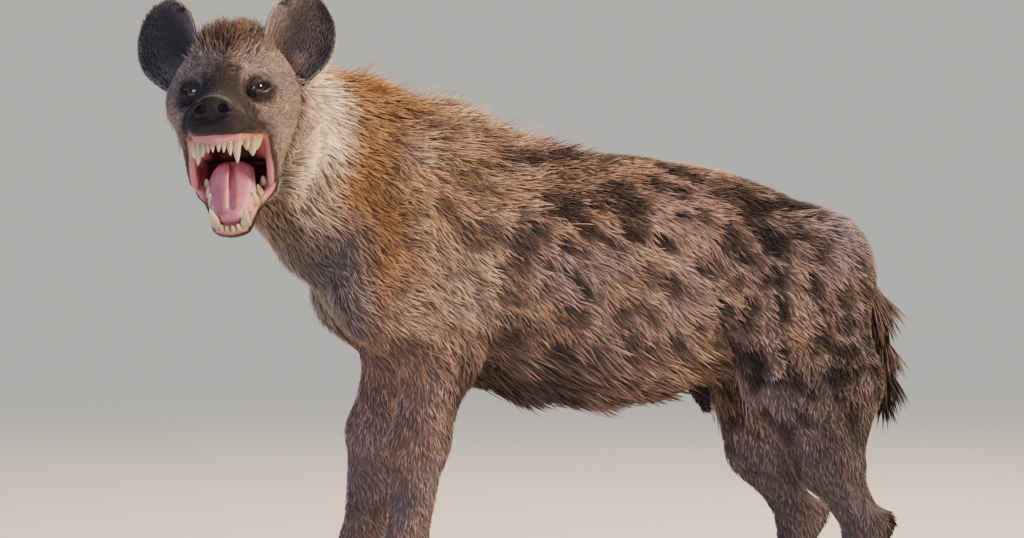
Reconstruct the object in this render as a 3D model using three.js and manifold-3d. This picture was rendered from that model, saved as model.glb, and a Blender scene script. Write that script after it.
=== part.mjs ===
// A spotted hyena at life size: an adult that stands with its head turned to its left and its mouth open.
// Millimetres. The body faces -X, its left side is -Y, +Z is up, and the floor is at z = 0.
import * as THREE from "three";
import { mergeVertices } from "three/addons/utils/BufferGeometryUtils.js";
import Module from "manifold-3d";

const wasm = await Module();
wasm.setup();

// Pieces that touch keep this gap.
const GAP = 0.3;

// The trunk from the chest to the croup: x, the height of the back, the height of the belly, half the width.
const TRUNK = [
  [-205, 742, 470, 88],
  [-120, 772, 416, 116],
  [-20, 750, 394, 130],
  [90, 731, 378, 138],
  [200, 717, 382, 130],
  [300, 698, 410, 116],
  [400, 658, 450, 100],
  [450, 616, 480, 82],
];
const CHEST_CAP = 55;
const CROUP_CAP = 46;

// The head turns about the hinge of the jaw. Degrees.
const HINGE = [-423, -175, 775];
const HEAD_TURN = 70;
const HEAD_PITCH = 3;
const HEAD_ROLL = 3.5;
const GAPE = 46;

// Places on the head, measured from the hinge: forwards, to its left, upwards.
const EYE = [50, 40, 41];
const EYE_RADIUS = 13.5;
const EYE_GAZE = [0.66, 0.74, 0.12];
const LID = 4;
const NOSE = [157, 0, 16];
const NOSE_SIZE = [17, 22, 17];
const NOSTRIL = [172, 12, 14];
const EAR_ROOT = [-38, 64, 50];
const EAR_LEAN = [-12, 44, 118];
const EAR_FACING = [0.93, 0.36, 0];
const EAR_WIDTH = 62;
const EAR_CURL_ROOT = 92;
const EAR_CURL_TIP = 40;
const EAR_THICK = 7;
const EAR_RIM = 3;

// How far each leg is set forwards or back of a square stance.
const FORE = { left: { side: -1, back: 0 }, right: { side: 1, back: -20 } };
const HIND = { left: { side: -1, back: 0 }, right: { side: 1, back: -46 } };
const FOREPAW = 1.08;
const HINDPAW = 0.94;

const radians = THREE.MathUtils.degToRad;
const clamp = THREE.MathUtils.clamp;

// The axes of the head, as the columns of a matrix: forwards, left, up.
function headAxes() {
  const heading = new THREE.Vector3(-Math.cos(radians(HEAD_TURN)), -Math.sin(radians(HEAD_TURN)), 0);
  const rise = new THREE.Vector3(0, 0, 1);
  const pitch = radians(HEAD_PITCH);
  const forward = heading.clone().multiplyScalar(Math.cos(pitch)).addScaledVector(rise, Math.sin(pitch));
  const up = rise.clone().multiplyScalar(Math.cos(pitch)).addScaledVector(heading, -Math.sin(pitch));
  const left = up.clone().cross(forward);
  const roll = radians(HEAD_ROLL);
  const rolledLeft = left.clone().multiplyScalar(Math.cos(roll)).addScaledVector(up, Math.sin(roll));
  const rolledUp = up.clone().multiplyScalar(Math.cos(roll)).addScaledVector(left, -Math.sin(roll));
  return new THREE.Matrix4().makeBasis(forward, rolledLeft, rolledUp).setPosition(...HINGE);
}
const HEAD = headAxes();
const JAW = HEAD.clone().multiply(new THREE.Matrix4().makeRotationY(radians(GAPE)));
const WORLD = new THREE.Matrix4();

// A field gives the signed distance from a point to a surface, and is negative inside it.
function smoothMin(a, b, k) {
  const h = Math.max(k - Math.abs(a - b), 0) / k;
  return Math.min(a, b) - (h * h * k) / 4;
}
const smoothMax = (a, b, k) => -smoothMin(-a, -b, k);

// A round limb from a to b whose radius runs from ra to rb. Its width across the body is scaled by flat.
function limb(a, b, ra, rb, flat = 1) {
  const [dx, dy, dz] = [b[0] - a[0], b[1] - a[1], b[2] - a[2]];
  const length2 = dx * dx + dy * dy + dz * dz;
  return (x, y, z) => {
    const [px, py, pz] = [x - a[0], y - a[1], z - a[2]];
    const t = clamp((px * dx + py * dy + pz * dz) / length2, 0, 1);
    return Math.hypot(px - t * dx, (py - t * dy) / flat, pz - t * dz) - ra - t * (rb - ra);
  };
}

// A run of limbs through several points, each given as x, y, z and the radius.
function chain(k, points, flat = 1) {
  const parts = points.slice(1).map((q, i) => {
    const p = points[i];
    return limb(p, q, p[3], q[3], flat);
  });
  return blend(k, ...parts);
}

// An ellipsoid at c with the three radii r.
function blob(c, r) {
  const least = Math.min(...r);
  return (x, y, z) => {
    const [px, py, pz] = [(x - c[0]) / r[0], (y - c[1]) / r[1], (z - c[2]) / r[2]];
    const k0 = Math.hypot(px, py, pz);
    const k1 = Math.hypot(px / r[0], py / r[1], pz / r[2]);
    return k1 < 1e-9 ? -least : (k0 * (k0 - 1)) / k1;
  };
}

// Several fields run together, with a fillet of about k.
function blend(k, ...fields) {
  return (x, y, z) => fields.reduce((d, f) => smoothMin(d, f(x, y, z), k), 1e4);
}

// A field given in the axes of a matrix.
function turned(matrix, field) {
  const e = matrix.clone().invert().elements;
  return (x, y, z) =>
    field(
      e[0] * x + e[4] * y + e[8] * z + e[12],
      e[1] * x + e[5] * y + e[9] * z + e[13],
      e[2] * x + e[6] * y + e[10] * z + e[14],
    );
}

// A field given in the axes of the head or the jaw, and mirrored about its middle.
const placed = (matrix, field) => turned(matrix, (f, l, u) => field(f, Math.abs(l), u));

// The value in column k of a table at x, on a smooth curve through its rows.
function along(table, x, k) {
  const n = table.length;
  let i = 0;
  while (i < n - 2 && x > table[i + 1][0]) i++;
  const slope = (j) => {
    const [p, q] = [table[Math.max(j - 1, 0)], table[Math.min(j + 1, n - 1)]];
    return (q[k] - p[k]) / (q[0] - p[0]);
  };
  const [a, b] = [table[i], table[i + 1]];
  const h = b[0] - a[0];
  const t = clamp((x - a[0]) / h, 0, 1);
  const [t2, t3] = [t * t, t * t * t];
  const ends = (2 * t3 - 3 * t2 + 1) * a[k] + (3 * t2 - 2 * t3) * b[k];
  return ends + ((t3 - 2 * t2 + t) * slope(i) + (t3 - t2) * slope(i + 1)) * h;
}

// The barrel of the body.
function trunk(x, y, z) {
  const [first, last] = [TRUNK[0][0], TRUNK[TRUNK.length - 1][0]];
  const at = clamp(x, first, last);
  const top = along(TRUNK, at, 1);
  const bottom = along(TRUNK, at, 2);
  const half = along(TRUNK, at, 3);
  const height = (top - bottom) / 2;
  const cap = x < first ? CHEST_CAP : CROUP_CAP;
  const [px, py, pz] = [(x - at) / cap, y / half, (z - (top + bottom) / 2) / height];
  const k0 = Math.hypot(px, py, pz);
  const k1 = Math.hypot(px / cap, py / half, pz / height);
  return k1 < 1e-9 ? -half : (k0 * (k0 - 1)) / k1;
}

// The neck: a nape and a throat that bend together to the left.
const neck = blend(
  50,
  chain(50, [
    [-110, 0, 706, 76],
    [-230, -18, 742, 78],
    [-335, -66, 770, 76],
    [-395, -112, 785, 72],
  ]),
  chain(50, [
    [-200, 0, 590, 96],
    [-258, -14, 630, 82],
    [-318, -60, 688, 74],
    [-378, -112, 735, 66],
  ]),
);

// The root of the mane: the crest from between the ears, along the nape and over the withers to the loins.
const MANE = [
  [-385, -98, 824, 15],
  [-330, -62, 812, 17],
  [-250, -24, 790, 18],
  [-165, 0, 758, 19],
  [-112, 0, 751, 19],
  [-50, 0, 722, 18],
  [30, 0, 716, 12],
];
const mane = chain(26, MANE);

// A foreleg from the shoulder blade to the wrist.
function foreleg({ side, back }) {
  const y = side * 100;
  return {
    upper: blend(
      40,
      limb([-132, side * 62, 690], [-196, side * 84, 530], 62, 66, 0.6),
      limb([-196, side * 82, 530], [-122 + back / 2, y * 0.98, 450], 68, 56, 0.75),
    ),
    lower: blend(
      24,
      limb([-126 + back / 2, y, 446], [-152 + back, y, 330], 54, 42),
      limb([-152 + back, y, 330], [-172 + back, y, 175], 42, 31),
      limb([-172 + back, y, 175], [-178 + back, y, 60], 32, 33),
    ),
    foot: [-184 + back, y],
  };
}

// A hind leg from the hip to the hock and the long foot below it.
function hindleg({ side, back }) {
  const y = side * 98;
  return {
    upper: blend(
      40,
      limb([412, side * 66, 560], [362 + back / 4, side * 92, 430], 90, 66, 0.72),
      limb([436, side * 58, 516], [444 + back / 2, side * 88, 405], 60, 62, 0.8),
    ),
    lower: blend(
      26,
      limb([362 + back / 4, side * 96, 400], [420 + back, y, 300], 52, 46, 0.8),
      limb([446 + back / 2, side * 94, 396], [440 + back, y, 300], 60, 42, 0.8),
      limb([424 + back, y, 300], [482 + back, y, 200], 44, 29),
      limb([484 + back, y, 198], [510 + back, y, 208], 22, 18),
      limb([482 + back, y, 196], [456 + back, y, 66], 28, 26),
    ),
    foot: [444 + back, y],
  };
}

// A paw: a pad and four toes, cut off by the floor to one flat.
function paw([x, y], size) {
  const toes = [-1.5, -0.5, 0.5, 1.5].map((i) =>
    limb(
      [x - 22 * size, y + 15 * i * size, 26 * size],
      [x - (56 - 6 * Math.abs(i)) * size, y + 19 * i * size, 13 * size],
      17 * size,
      15 * size,
    ),
  );
  return blend(9, limb([x + 6, y, 34 * size], [x - 18 * size, y, 24 * size], 33 * size, 31 * size), ...toes);
}

const LEGS = {
  foreleg_left: { ...foreleg(FORE.left), size: FOREPAW, ...FORE.left },
  foreleg_right: { ...foreleg(FORE.right), size: FOREPAW, ...FORE.right },
  hindleg_left: { ...hindleg(HIND.left), size: HINDPAW, ...HIND.left },
  hindleg_right: { ...hindleg(HIND.right), size: HINDPAW, ...HIND.right },
};
const legs = Object.values(LEGS);
for (const leg of legs) leg.paw = paw(leg.foot, leg.size);

// The tail hangs behind the thighs and ends in a brush.
const TAIL = [
  [448, 0, 580, 36],
  [492, 0, 554, 24],
  [516, 0, 512, 21],
  [527, 0, 452, 20],
];
const BRUSH = [
  [527, 0, 452, 18],
  [531, 0, 410, 14],
  [533, 0, 378, 8],
];
const tail = blend(14, chain(14, TAIL), chain(14, BRUSH));

// The middle of the belly, with the fold of skin that hangs before the thighs.
const belly = chain(30, [
  [-70, 0, 422, 20],
  [10, 0, 412, 22],
  [120, 0, 402, 22],
  [230, 0, 416, 22],
]);
const bellyFold = limb([262, 0, 412], [284, 0, 372], 26, 15, 0.7);

// The upper head: skull, cheeks, bridge and muzzle, in the head's axes.
const skull = blend(
  26,
  blob([-24, 0, 46], [78, 82, 80]),
  blob([0, 50, 24], [56, 44, 46]),
  limb([6, 0, 54], [66, 0, 30], 52, 36, 1.12),
  limb([66, 0, 26], [134, 0, 8], 38, 26, 1.12),
  limb([56, 44, -4], [138, 20, -6], 23, 20),
  blob([146, 0, -14], [21, 26, 18]),
);
const brow = limb([38, 52, 62], [64, 26, 60], 12, 11);
const orbit = blob([76, 41, 38], [20, 12, 13]);
const gum = blend(
  6,
  limb([56, 42, -21], [140, 24, -23], 9, 8.5),
  limb([140, 24, -23], [156, 0, -25], 8.5, 9.5),
);
const noseField = blob(NOSE, NOSE_SIZE);
const nostril = blob(NOSTRIL, [9, 7, 6]);

// The axes of an eye in the head's: along its gaze, along its slit, and across its slit.
function eyeAxes() {
  const gaze = new THREE.Vector3(...EYE_GAZE).normalize();
  const slit = new THREE.Vector3(-0.72, 0.6, 0.24);
  slit.addScaledVector(gaze, -slit.dot(gaze)).normalize();
  return new THREE.Matrix4().makeBasis(gaze, slit, gaze.clone().cross(slit)).setPosition(...EYE);
}
const EYE_AXES = eyeAxes();
const lidField = blob(EYE, [EYE_RADIUS + LID, EYE_RADIUS + LID, EYE_RADIUS + LID]);

// The lower jaw, in its own axes.
const jawBone = blend(
  20,
  limb([0, 50, -20], [66, 40, -60], 28, 15),
  limb([66, 40, -60], [140, 14, -57], 15, 12),
  limb([140, 12, -57], [147, 0, -57], 13, 14),
  limb([20, 0, -54], [130, 0, -61], 26, 11),
);

// The open mouth. Its sides are open before the corners, and the cheeks close it behind them.
const UPPER_LIP = -22;
const LOWER_LIP = -51;
const CORNER = [96, -86, 46];
const GULLET = 54;
const half = radians(GAPE / 2);
function inMouth(f, l, u) {
  const ahead = (f - CORNER[0]) * Math.cos(half) - (u - CORNER[1]) * Math.sin(half);
  const across = Math.abs((f - CORNER[0]) * Math.sin(half) + (u - CORNER[1]) * Math.cos(half));
  const behind = Math.hypot(ahead, across) - CORNER[2];
  const side = ahead < 0 ? behind : across - CORNER[2] - ahead * Math.tan(half);
  return smoothMin(side, smoothMax(l - 48, GULLET - Math.hypot(f, u), 12), 10);
}
const openMouth = placed(HEAD, inMouth);
const upperLip = placed(HEAD, (f, l, u) => u - UPPER_LIP);
const lowerLip = placed(JAW, (f, l, u) => LOWER_LIP - u);
const palate = placed(HEAD, blob([98, 0, -30], [58, 24, 14]));
const upperHead = placed(HEAD, skull);
const brows = placed(HEAD, brow);
const lids = placed(HEAD, lidField);
const lowerJaw = placed(JAW, jawBone);
const web = limb([44, 56, -20], [31, 49, -78], 14, 14);
const cheek = placed(HEAD, blend(14, web, limb([14, 52, -26], [16, 46, -62], 22, 18)));
const orbits = placed(HEAD, orbit);
const gums = placed(HEAD, gum);
const nose = placed(HEAD, noseField);
const nostrils = placed(HEAD, nostril);

function mouth(x, y, z) {
  const gape = smoothMax(upperLip(x, y, z), lowerLip(x, y, z), 10);
  return smoothMin(smoothMax(gape, openMouth(x, y, z), 14), palate(x, y, z), 8);
}

// The whole animal, out to the tips of its coat.
function body(x, y, z) {
  let d = smoothMin(trunk(x, y, z), neck(x, y, z), 60);
  d = smoothMin(d, mane(x, y, z), 34);
  d = smoothMin(d, belly(x, y, z), 30);
  d = smoothMin(d, bellyFold(x, y, z), 12);
  for (const leg of legs) d = smoothMin(d, leg.upper(x, y, z), 46);
  for (const leg of legs) d = smoothMin(d, leg.lower(x, y, z), 30);
  for (const leg of legs) d = smoothMin(d, leg.paw(x, y, z), 16);
  d = smoothMin(d, tail(x, y, z), 12);
  d = smoothMin(d, upperHead(x, y, z), 34);
  d = smoothMin(d, lowerJaw(x, y, z), 20);
  d = smoothMin(d, cheek(x, y, z), 18);
  d = smoothMin(d, brows(x, y, z), 14);
  d = smoothMax(d, -orbits(x, y, z), 16);
  d = smoothMin(d, lids(x, y, z), 8);
  d = smoothMax(d, -mouth(x, y, z), 6);
  d = smoothMin(d, gums(x, y, z), 3);
  d = smoothMin(d, nose(x, y, z), 9);
  return smoothMax(d, -nostrils(x, y, z), 3);
}

// The values of a field on a grid. Blocks of cells that lie far from the surface take one value.
const BLOCK = 4;
function sampled(field, lo, cell, size) {
  const [nx, ny, nz] = size;
  const value = new Float32Array(nx * ny * nz);
  const reach = cell * BLOCK * 0.87 * 1.5;
  const rim = (i, j, k) => i === 0 || j === 0 || k === 0 || i === nx - 1 || j === ny - 1 || k === nz - 1;
  for (let a = 0; a < nx; a += BLOCK) {
    for (let b = 0; b < ny; b += BLOCK) {
      for (let c = 0; c < nz; c += BLOCK) {
        const middle = [a, b, c].map((n, k) => lo[k] + (n + (BLOCK - 1) / 2) * cell);
        const far = field(...middle);
        for (let i = a; i < Math.min(a + BLOCK, nx); i++) {
          for (let j = b; j < Math.min(b + BLOCK, ny); j++) {
            for (let k = c; k < Math.min(c + BLOCK, nz); k++) {
              const skip = Math.abs(far) > reach;
              const d = skip ? far : field(lo[0] + i * cell, lo[1] + j * cell, lo[2] + k * cell);
              value[(i * ny + j) * nz + k] = rim(i, j, k) ? Math.max(d, cell / 3) : d;
            }
          }
        }
      }
    }
  }
  return value;
}

// The six ways from one corner of a cell to the opposite corner, each the path of one tetrahedron.
const PATHS = [[1, 2], [2, 4], [4, 1], [2, 1], [4, 2], [1, 4]].map(([a, b]) => [0, a, a | b, 7]);

// The surface of a field inside a box, as one closed body. Each cell is split into six tetrahedra.
function surface(field, lo, hi, cell, tolerance) {
  const size = [0, 1, 2].map((k) => Math.ceil((hi[k] - lo[k]) / cell) + 1);
  const [nx, ny, nz] = size;
  const value = sampled(field, lo, cell, size);
  const offset = [0, 1, 2, 3, 4, 5, 6, 7].map((n) => ((n & 1) * ny + ((n >> 1) & 1)) * nz + ((n >> 2) & 1));
  const known = new Map();
  const points = [];
  const faces = [];
  const crossing = (o, a, b) => {
    const [p, q] = a < b ? [a, b] : [b, a];
    const key = (o + offset[p]) * 8 + (p ^ q);
    if (known.has(key)) return known.get(key);
    const [u, v] = [o + offset[p], o + offset[q]];
    const t = clamp(value[u] / (value[u] - value[v]), 0.05, 0.95);
    const spot = (n) => [Math.floor(n / (ny * nz)), Math.floor(n / nz) % ny, n % nz];
    const [from, to] = [spot(u), spot(v)];
    points.push(...from.map((n, k) => lo[k] + (n + t * (to[k] - n)) * cell));
    known.set(key, points.length / 3 - 1);
    return points.length / 3 - 1;
  };
  const face = (odd, a, b, c) => (odd ? faces.push(a, c, b) : faces.push(a, b, c));
  for (let i = 0; i < nx - 1; i++) {
    for (let j = 0; j < ny - 1; j++) {
      for (let k = 0; k < nz - 1; k++) {
        const o = (i * ny + j) * nz + k;
        const inside = offset.map((n) => value[o + n] < 0);
        if (inside.every((v) => v === inside[0])) continue;
        PATHS.forEach((path, n) => {
          const within = path.filter((c) => inside[c]);
          const out = path.filter((c) => !inside[c]);
          if (!within.length || !out.length) return;
          const order = [...within, ...out].map((c) => path.indexOf(c));
          let odd = n > 2;
          for (let p = 0; p < 4; p++) for (let q = p + 1; q < 4; q++) odd = order[p] > order[q] ? !odd : odd;
          const e = (a, b) => crossing(o, a, b);
          const [a, b, c, d] = [...within, ...out];
          if (within.length === 1) face(odd, e(a, b), e(a, c), e(a, d));
          if (within.length === 3) face(odd, e(a, d), e(b, d), e(c, d));
          if (within.length === 2) {
            face(odd, e(a, c), e(a, d), e(b, d));
            face(odd, e(a, c), e(b, d), e(b, c));
          }
        });
      }
    }
  }
  const mesh = new wasm.Mesh({
    numProp: 3,
    vertProperties: new Float32Array(points),
    triVerts: new Uint32Array(faces),
  });
  return new wasm.Manifold(mesh).simplify(tolerance);
}

// A closed body from a geometry.
function solid(geometry) {
  const bare = new THREE.BufferGeometry();
  bare.setAttribute("position", geometry.getAttribute("position"));
  bare.setIndex(geometry.getIndex());
  const merged = mergeVertices(bare, 1e-4);
  const mesh = new wasm.Mesh({
    numProp: 3,
    vertProperties: Float32Array.from(merged.getAttribute("position").array),
    triVerts: Uint32Array.from(merged.getIndex().array),
  });
  return new wasm.Manifold(mesh);
}

// A box between two corners, in the axes of a matrix.
function box(lo, hi, matrix = WORLD, grow = 0) {
  const size = [0, 1, 2].map((k) => hi[k] - lo[k] + 2 * grow);
  const middle = [0, 1, 2].map((k) => (hi[k] + lo[k]) / 2);
  const geometry = new THREE.BoxGeometry(...size);
  geometry.translate(...middle);
  geometry.applyMatrix4(matrix);
  return solid(geometry);
}

function largest(shape) {
  return shape.decompose().reduce((a, b) => (b.volume() > a.volume() ? b : a));
}

// A point near the surface of a field moved towards it, by no more than a given reach.
function settle(field, point, reach) {
  const e = 1;
  const slope = [0, 1, 2].map((k) => {
    const [fore, aft] = [[...point], [...point]];
    fore[k] += e;
    aft[k] -= e;
    return (field(...fore) - field(...aft)) / (2 * e);
  });
  const steep = Math.hypot(...slope, 1e-6);
  const move = clamp(field(...point) / steep, -reach, reach) / steep;
  return point.map((p, k) => p - move * slope[k]);
}

// Numbers from 0 to 1 that scatter the hair the same way each time.
let seed = 7;
function chance() {
  seed = (seed * 16807) % 2147483647;
  return seed / 2147483647;
}
const vary = (amount) => 1 + amount * (2 * chance() - 1);

// A lock of hair: a flat blade that leaves a surface near a point, bends over and tapers to a tip.
function lock(field, near, lie, { length, width, thick, rise, bend }) {
  let spot = near;
  for (let i = 0; i < 12; i++) spot = settle(field, spot, 30);
  const e = 2;
  const out = new THREE.Vector3(
    ...[0, 1, 2].map((k) => field(...spot.map((v, n) => v + (n === k ? e : 0))) - field(...spot)),
  ).normalize();
  const along = lie.clone().addScaledVector(out, -lie.dot(out)).normalize();
  const across = out.clone().cross(along);
  const twist = (chance() - 0.5) * 0.7;
  const middle = new THREE.Vector3(...spot).addScaledVector(out, -thick);
  const points = [];
  const stations = [
    [0, 0.9, 1],
    [0.3, 1, 0.9],
    [0.4, 0.66, 0.55],
    [0.3, 0, 0],
  ];
  stations.forEach(([step, wide, deep], i) => {
    const lift = radians(rise - (bend * i) / 3);
    const heading = along.clone().multiplyScalar(Math.cos(lift)).addScaledVector(out, Math.sin(lift));
    middle.addScaledVector(heading, step * length);
    middle.addScaledVector(across, step * length * twist * (i / 3));
    const face = out.clone().multiplyScalar(Math.cos(lift)).addScaledVector(along, -Math.sin(lift));
    const corners = wide > 0 ? [[across, width * wide], [face, thick * deep]] : [[across, 0]];
    for (const [axis, size] of corners) points.push(middle.clone().addScaledVector(axis, size / 2));
    for (const [axis, size] of corners) points.push(middle.clone().addScaledVector(axis, -size / 2));
  });
  const faces = [0, 3, 2, 0, 2, 1];
  for (let i = 0; i < 3; i++) {
    for (let k = 0; k < 4; k++) {
      const [a, b, c, d] = [4 * i + k, 4 * i + ((k + 1) % 4), 4 * i + 4 + ((k + 1) % 4), 4 * i + 4 + k];
      if (i === 2) faces.push(a, b, 12);
      else faces.push(a, b, c, a, c, d);
    }
  }
  const geometry = new THREE.BufferGeometry();
  const places = points.slice(0, 13).flatMap((v) => v.toArray());
  geometry.setAttribute("position", new THREE.Float32BufferAttribute(places, 3));
  geometry.setIndex(faces);
  return solid(geometry);
}

// Locks spaced along a run of points, each a little different from the next.
function row(field, path, count, lie, size) {
  return Array.from({ length: count }, (_, i) => {
    const at = ((i + 0.5 + 0.5 * (chance() - 0.5)) / count) * (path.length - 1);
    const n = Math.min(Math.floor(at), path.length - 2);
    const near = [0, 1, 2].map((k) => path[n][k] + (at - n) * (path[n + 1][k] - path[n][k]));
    const way = new THREE.Vector3(...lie).normalize();
    way.add(new THREE.Vector3(chance() - 0.5, chance() - 0.5, chance() - 0.5).multiplyScalar(0.45));
    return lock(field, near, way, {
      length: size.length * vary(0.22),
      width: size.width * vary(0.2),
      thick: size.thick,
      rise: size.rise * vary(0.15),
      bend: size.bend * vary(0.3),
    });
  });
}

const onHead = (path, side) =>
  path.map(([f, l, u]) => new THREE.Vector3(f, l * side, u).applyMatrix4(HEAD).toArray());
const headWay = (way, side) =>
  new THREE.Vector3(way[0], way[1] * side, way[2]).transformDirection(HEAD).toArray();
const mirrored = (path, side) => path.map(([x, y, z]) => [x, y * side, z]);

// The long hair: mane, crown, ruff, throat, belly, elbows and thighs.
const beside = (offset) => MANE.map(([x, y, z]) => [x - (x < -200 ? 0.4 * offset : 0), y + offset, z + 30]);
const MANE_LOCK = { length: 66, width: 34, thick: 11, rise: 42, bend: 30 };
const CROWN_LOCK = { length: 44, width: 26, thick: 9, rise: 64, bend: 24 };
const RUFF_LOCK = { length: 66, width: 34, thick: 10, rise: 18, bend: 10 };
const BELLY_LOCK = { length: 70, width: 40, thick: 10, rise: 22, bend: 6 };
const LIMB_LOCK = { length: 50, width: 28, thick: 9, rise: 20, bend: 10 };
const RUFF = [[-44, 92, 30], [-40, 92, -10], [-38, 80, -52]];
const ELBOW = [[-82, 118, 476], [-86, 112, 404]];
const FLANK = [[-48, 62, 392], [60, 66, 376], [150, 66, 380], [236, 56, 396]];
const KEEL = [[-52, 0, 372], [60, 0, 366], [150, 0, 366], [244, 0, 384]];
const THROAT = [[-330, -78, 610], [-290, -40, 566], [-262, -6, 520]];
const locks = [
  ...row(body, beside(0), 15, [1, 0, 0.4], MANE_LOCK),
  ...row(body, beside(-20), 12, [1, -0.3, 0.2], MANE_LOCK),
  ...row(body, beside(20), 12, [1, 0.3, 0.2], MANE_LOCK),
  ...row(body, onHead([[8, -12, 136], [-52, -10, 134]], 1), 3, headWay([-1, -0.2, 0.5], 1), CROWN_LOCK),
  ...row(body, onHead([[8, 14, 136], [-52, 12, 134]], 1), 3, headWay([-1, 0.2, 0.5], 1), CROWN_LOCK),
  ...[1, -1].flatMap((side) => [
    ...row(body, onHead(RUFF, side), 5, headWay([-1, 0.1, -0.35], side), RUFF_LOCK),
    ...row(body, mirrored(ELBOW, side), 2, [0.5, 0, -0.85], LIMB_LOCK),
    ...row(body, mirrored(FLANK, side), 5, [1, 0, -0.3], BELLY_LOCK),
  ]),
  ...row(body, KEEL, 5, [1, 0, -0.3], BELLY_LOCK),
  ...row(body, THROAT, 4, [0.3, 0.2, -1], RUFF_LOCK),
];

// The brush of the tail.
const LOCK_EASE = 1.2;
const BRUSH_LOCK = { length: 74, width: 26, thick: 9, rise: 14, bend: 16 };
const brush = [0, 1, 2].flatMap((ring) =>
  [0, 1, 2].flatMap((i) => {
    const angle = ((i + ring / 2) * Math.PI) / 1.5;
    const z = 446 - 28 * ring;
    const near = [528 + 26 * Math.cos(angle), 26 * Math.sin(angle), z];
    return row(tail, [near, near], 1, [0, 0, -1], { ...BRUSH_LOCK, length: BRUSH_LOCK.length - 6 * ring });
  }),
);

// The locks that reach into a box.
function nearby(all, lo, hi) {
  return all.filter((one) => {
    const { min, max } = one.boundingBox();
    return [0, 1, 2].every((k) => max[k] > lo[k] && min[k] < hi[k]);
  });
}

// A part of the body: what lies in its own box, less the boxes of the parts that are cut out of it.
function part(field, lo, hi, cell, tolerance, keep, ...others) {
  let shape = surface(field, lo, hi, cell, tolerance);
  const hair = nearby(field === tail ? brush : field === body ? locks : [], lo, hi);
  if (hair.length) shape = shape.add(wasm.Manifold.union(hair)).simplify(LOCK_EASE);
  shape = shape.intersect(box(...keep));
  for (const other of others) shape = shape.subtract(box(other[0], other[1], other[2], GAP));
  return largest(shape).simplify(0.02);
}

// A cone with a blunt tip from a root to a tip, in the axes of a matrix. Teeth and claws are made of them.
function cone(matrix, root, tip, radius) {
  const length = Math.hypot(...tip.map((v, k) => v - root[k]));
  const profile = [
    [0, 0],
    [radius, 0],
    [radius * 0.74, length * 0.56],
    [0, length],
  ];
  const geometry = new THREE.LatheGeometry(profile.map((p) => new THREE.Vector2(...p)), 5);
  const toward = new THREE.Vector3(...tip.map((v, k) => v - root[k])).normalize();
  const turn = new THREE.Quaternion().setFromUnitVectors(new THREE.Vector3(0, 1, 0), toward);
  geometry.applyQuaternion(turn);
  geometry.translate(...root);
  geometry.applyMatrix4(matrix);
  return solid(geometry);
}

function union(...shapes) {
  return shapes.reduce((a, b) => a.add(b));
}

// Each tooth: where it leaves the gum, where its tip is, and its radius there, for one side.
const UPPER_TEETH = [
  [[159, 4, -28], [161, 4, -44], 4],
  [[156, 11, -28], [159, 11, -45], 4.2],
  [[151, 18, -26], [155, 18, -49], 5.2],
  [[142, 25, -22], [147, 27, -60], 7.8],
  [[129, 29, -25], [129, 30, -40], 5],
  [[118, 33, -25], [119, 34, -45], 7.5],
  [[103, 37, -23], [104, 38, -49], 9.5],
  [[84, 40, -22], [84, 41, -43], 10],
];
const LOWER_TEETH = [
  [[156, 4, -56], [160, 4, -40], 4],
  [[153, 11, -56], [157, 11, -40], 4.2],
  [[148, 17, -56], [152, 17, -38], 4.8],
  [[141, 19, -60], [148, 24, -17], 7.6],
  [[121, 23, -58], [121, 25, -38], 6],
  [[105, 28, -58], [105, 30, -31], 7.5],
  [[88, 33, -58], [88, 34, -35], 7.5],
  [[70, 38, -58], [70, 39, -38], 7.5],
];

function teeth(matrix, rows, grow = 0) {
  const both = [1, -1].flatMap((side) =>
    rows.map(([root, tip, radius]) => {
      const from = [root[0], root[1] * side, root[2] - grow];
      return cone(matrix, from, [tip[0], tip[1] * side, tip[2] + 2 * grow], radius + grow);
    }),
  );
  return union(...both);
}

// The ear: a plate curled into a cup that opens forwards, thick at its root and thin at its rim.
const EAR_COLUMNS = 8;
const EAR_ROWS = 7;
function earPlate(side) {
  const mirror = new THREE.Vector3(1, side, 1);
  const root = new THREE.Vector3(...EAR_ROOT).multiply(mirror);
  const lean = new THREE.Vector3(...EAR_LEAN).multiply(mirror);
  const rise = lean.clone().normalize();
  const facing = new THREE.Vector3(...EAR_FACING).multiply(mirror);
  facing.addScaledVector(rise, -facing.dot(rise)).normalize();
  const across = rise.clone().cross(facing);
  const spot = (i, j, face) => {
    const s = (2 * i) / EAR_COLUMNS - 1;
    const t = j / EAR_ROWS;
    const round = t < 0.4 ? 0.62 + 0.38 * Math.sin((t / 0.4) * 1.5708) : Math.cos((t - 0.4) * 2.46) ** 0.6;
    const width = EAR_WIDTH * round;
    const curl = radians(EAR_CURL_ROOT + (EAR_CURL_TIP - EAR_CURL_ROOT) * Math.min(t * 1.3, 1));
    const thick = (EAR_RIM + (EAR_THICK - EAR_RIM) * (1 - s * s) * (1 - 0.6 * t)) / 2;
    const angle = s * curl;
    const out = facing.clone().multiplyScalar(Math.cos(angle)).addScaledVector(across, -Math.sin(angle));
    return root
      .clone()
      .addScaledVector(lean, t)
      .addScaledVector(across, (width * Math.sin(angle)) / curl)
      .addScaledVector(facing, (width * (1 - Math.cos(angle))) / curl - 10 - 8 * t * t)
      .addScaledVector(out, face * thick);
  };
  return solid(sheet(spot, EAR_COLUMNS, EAR_ROWS)).transform(HEAD.elements);
}

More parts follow.
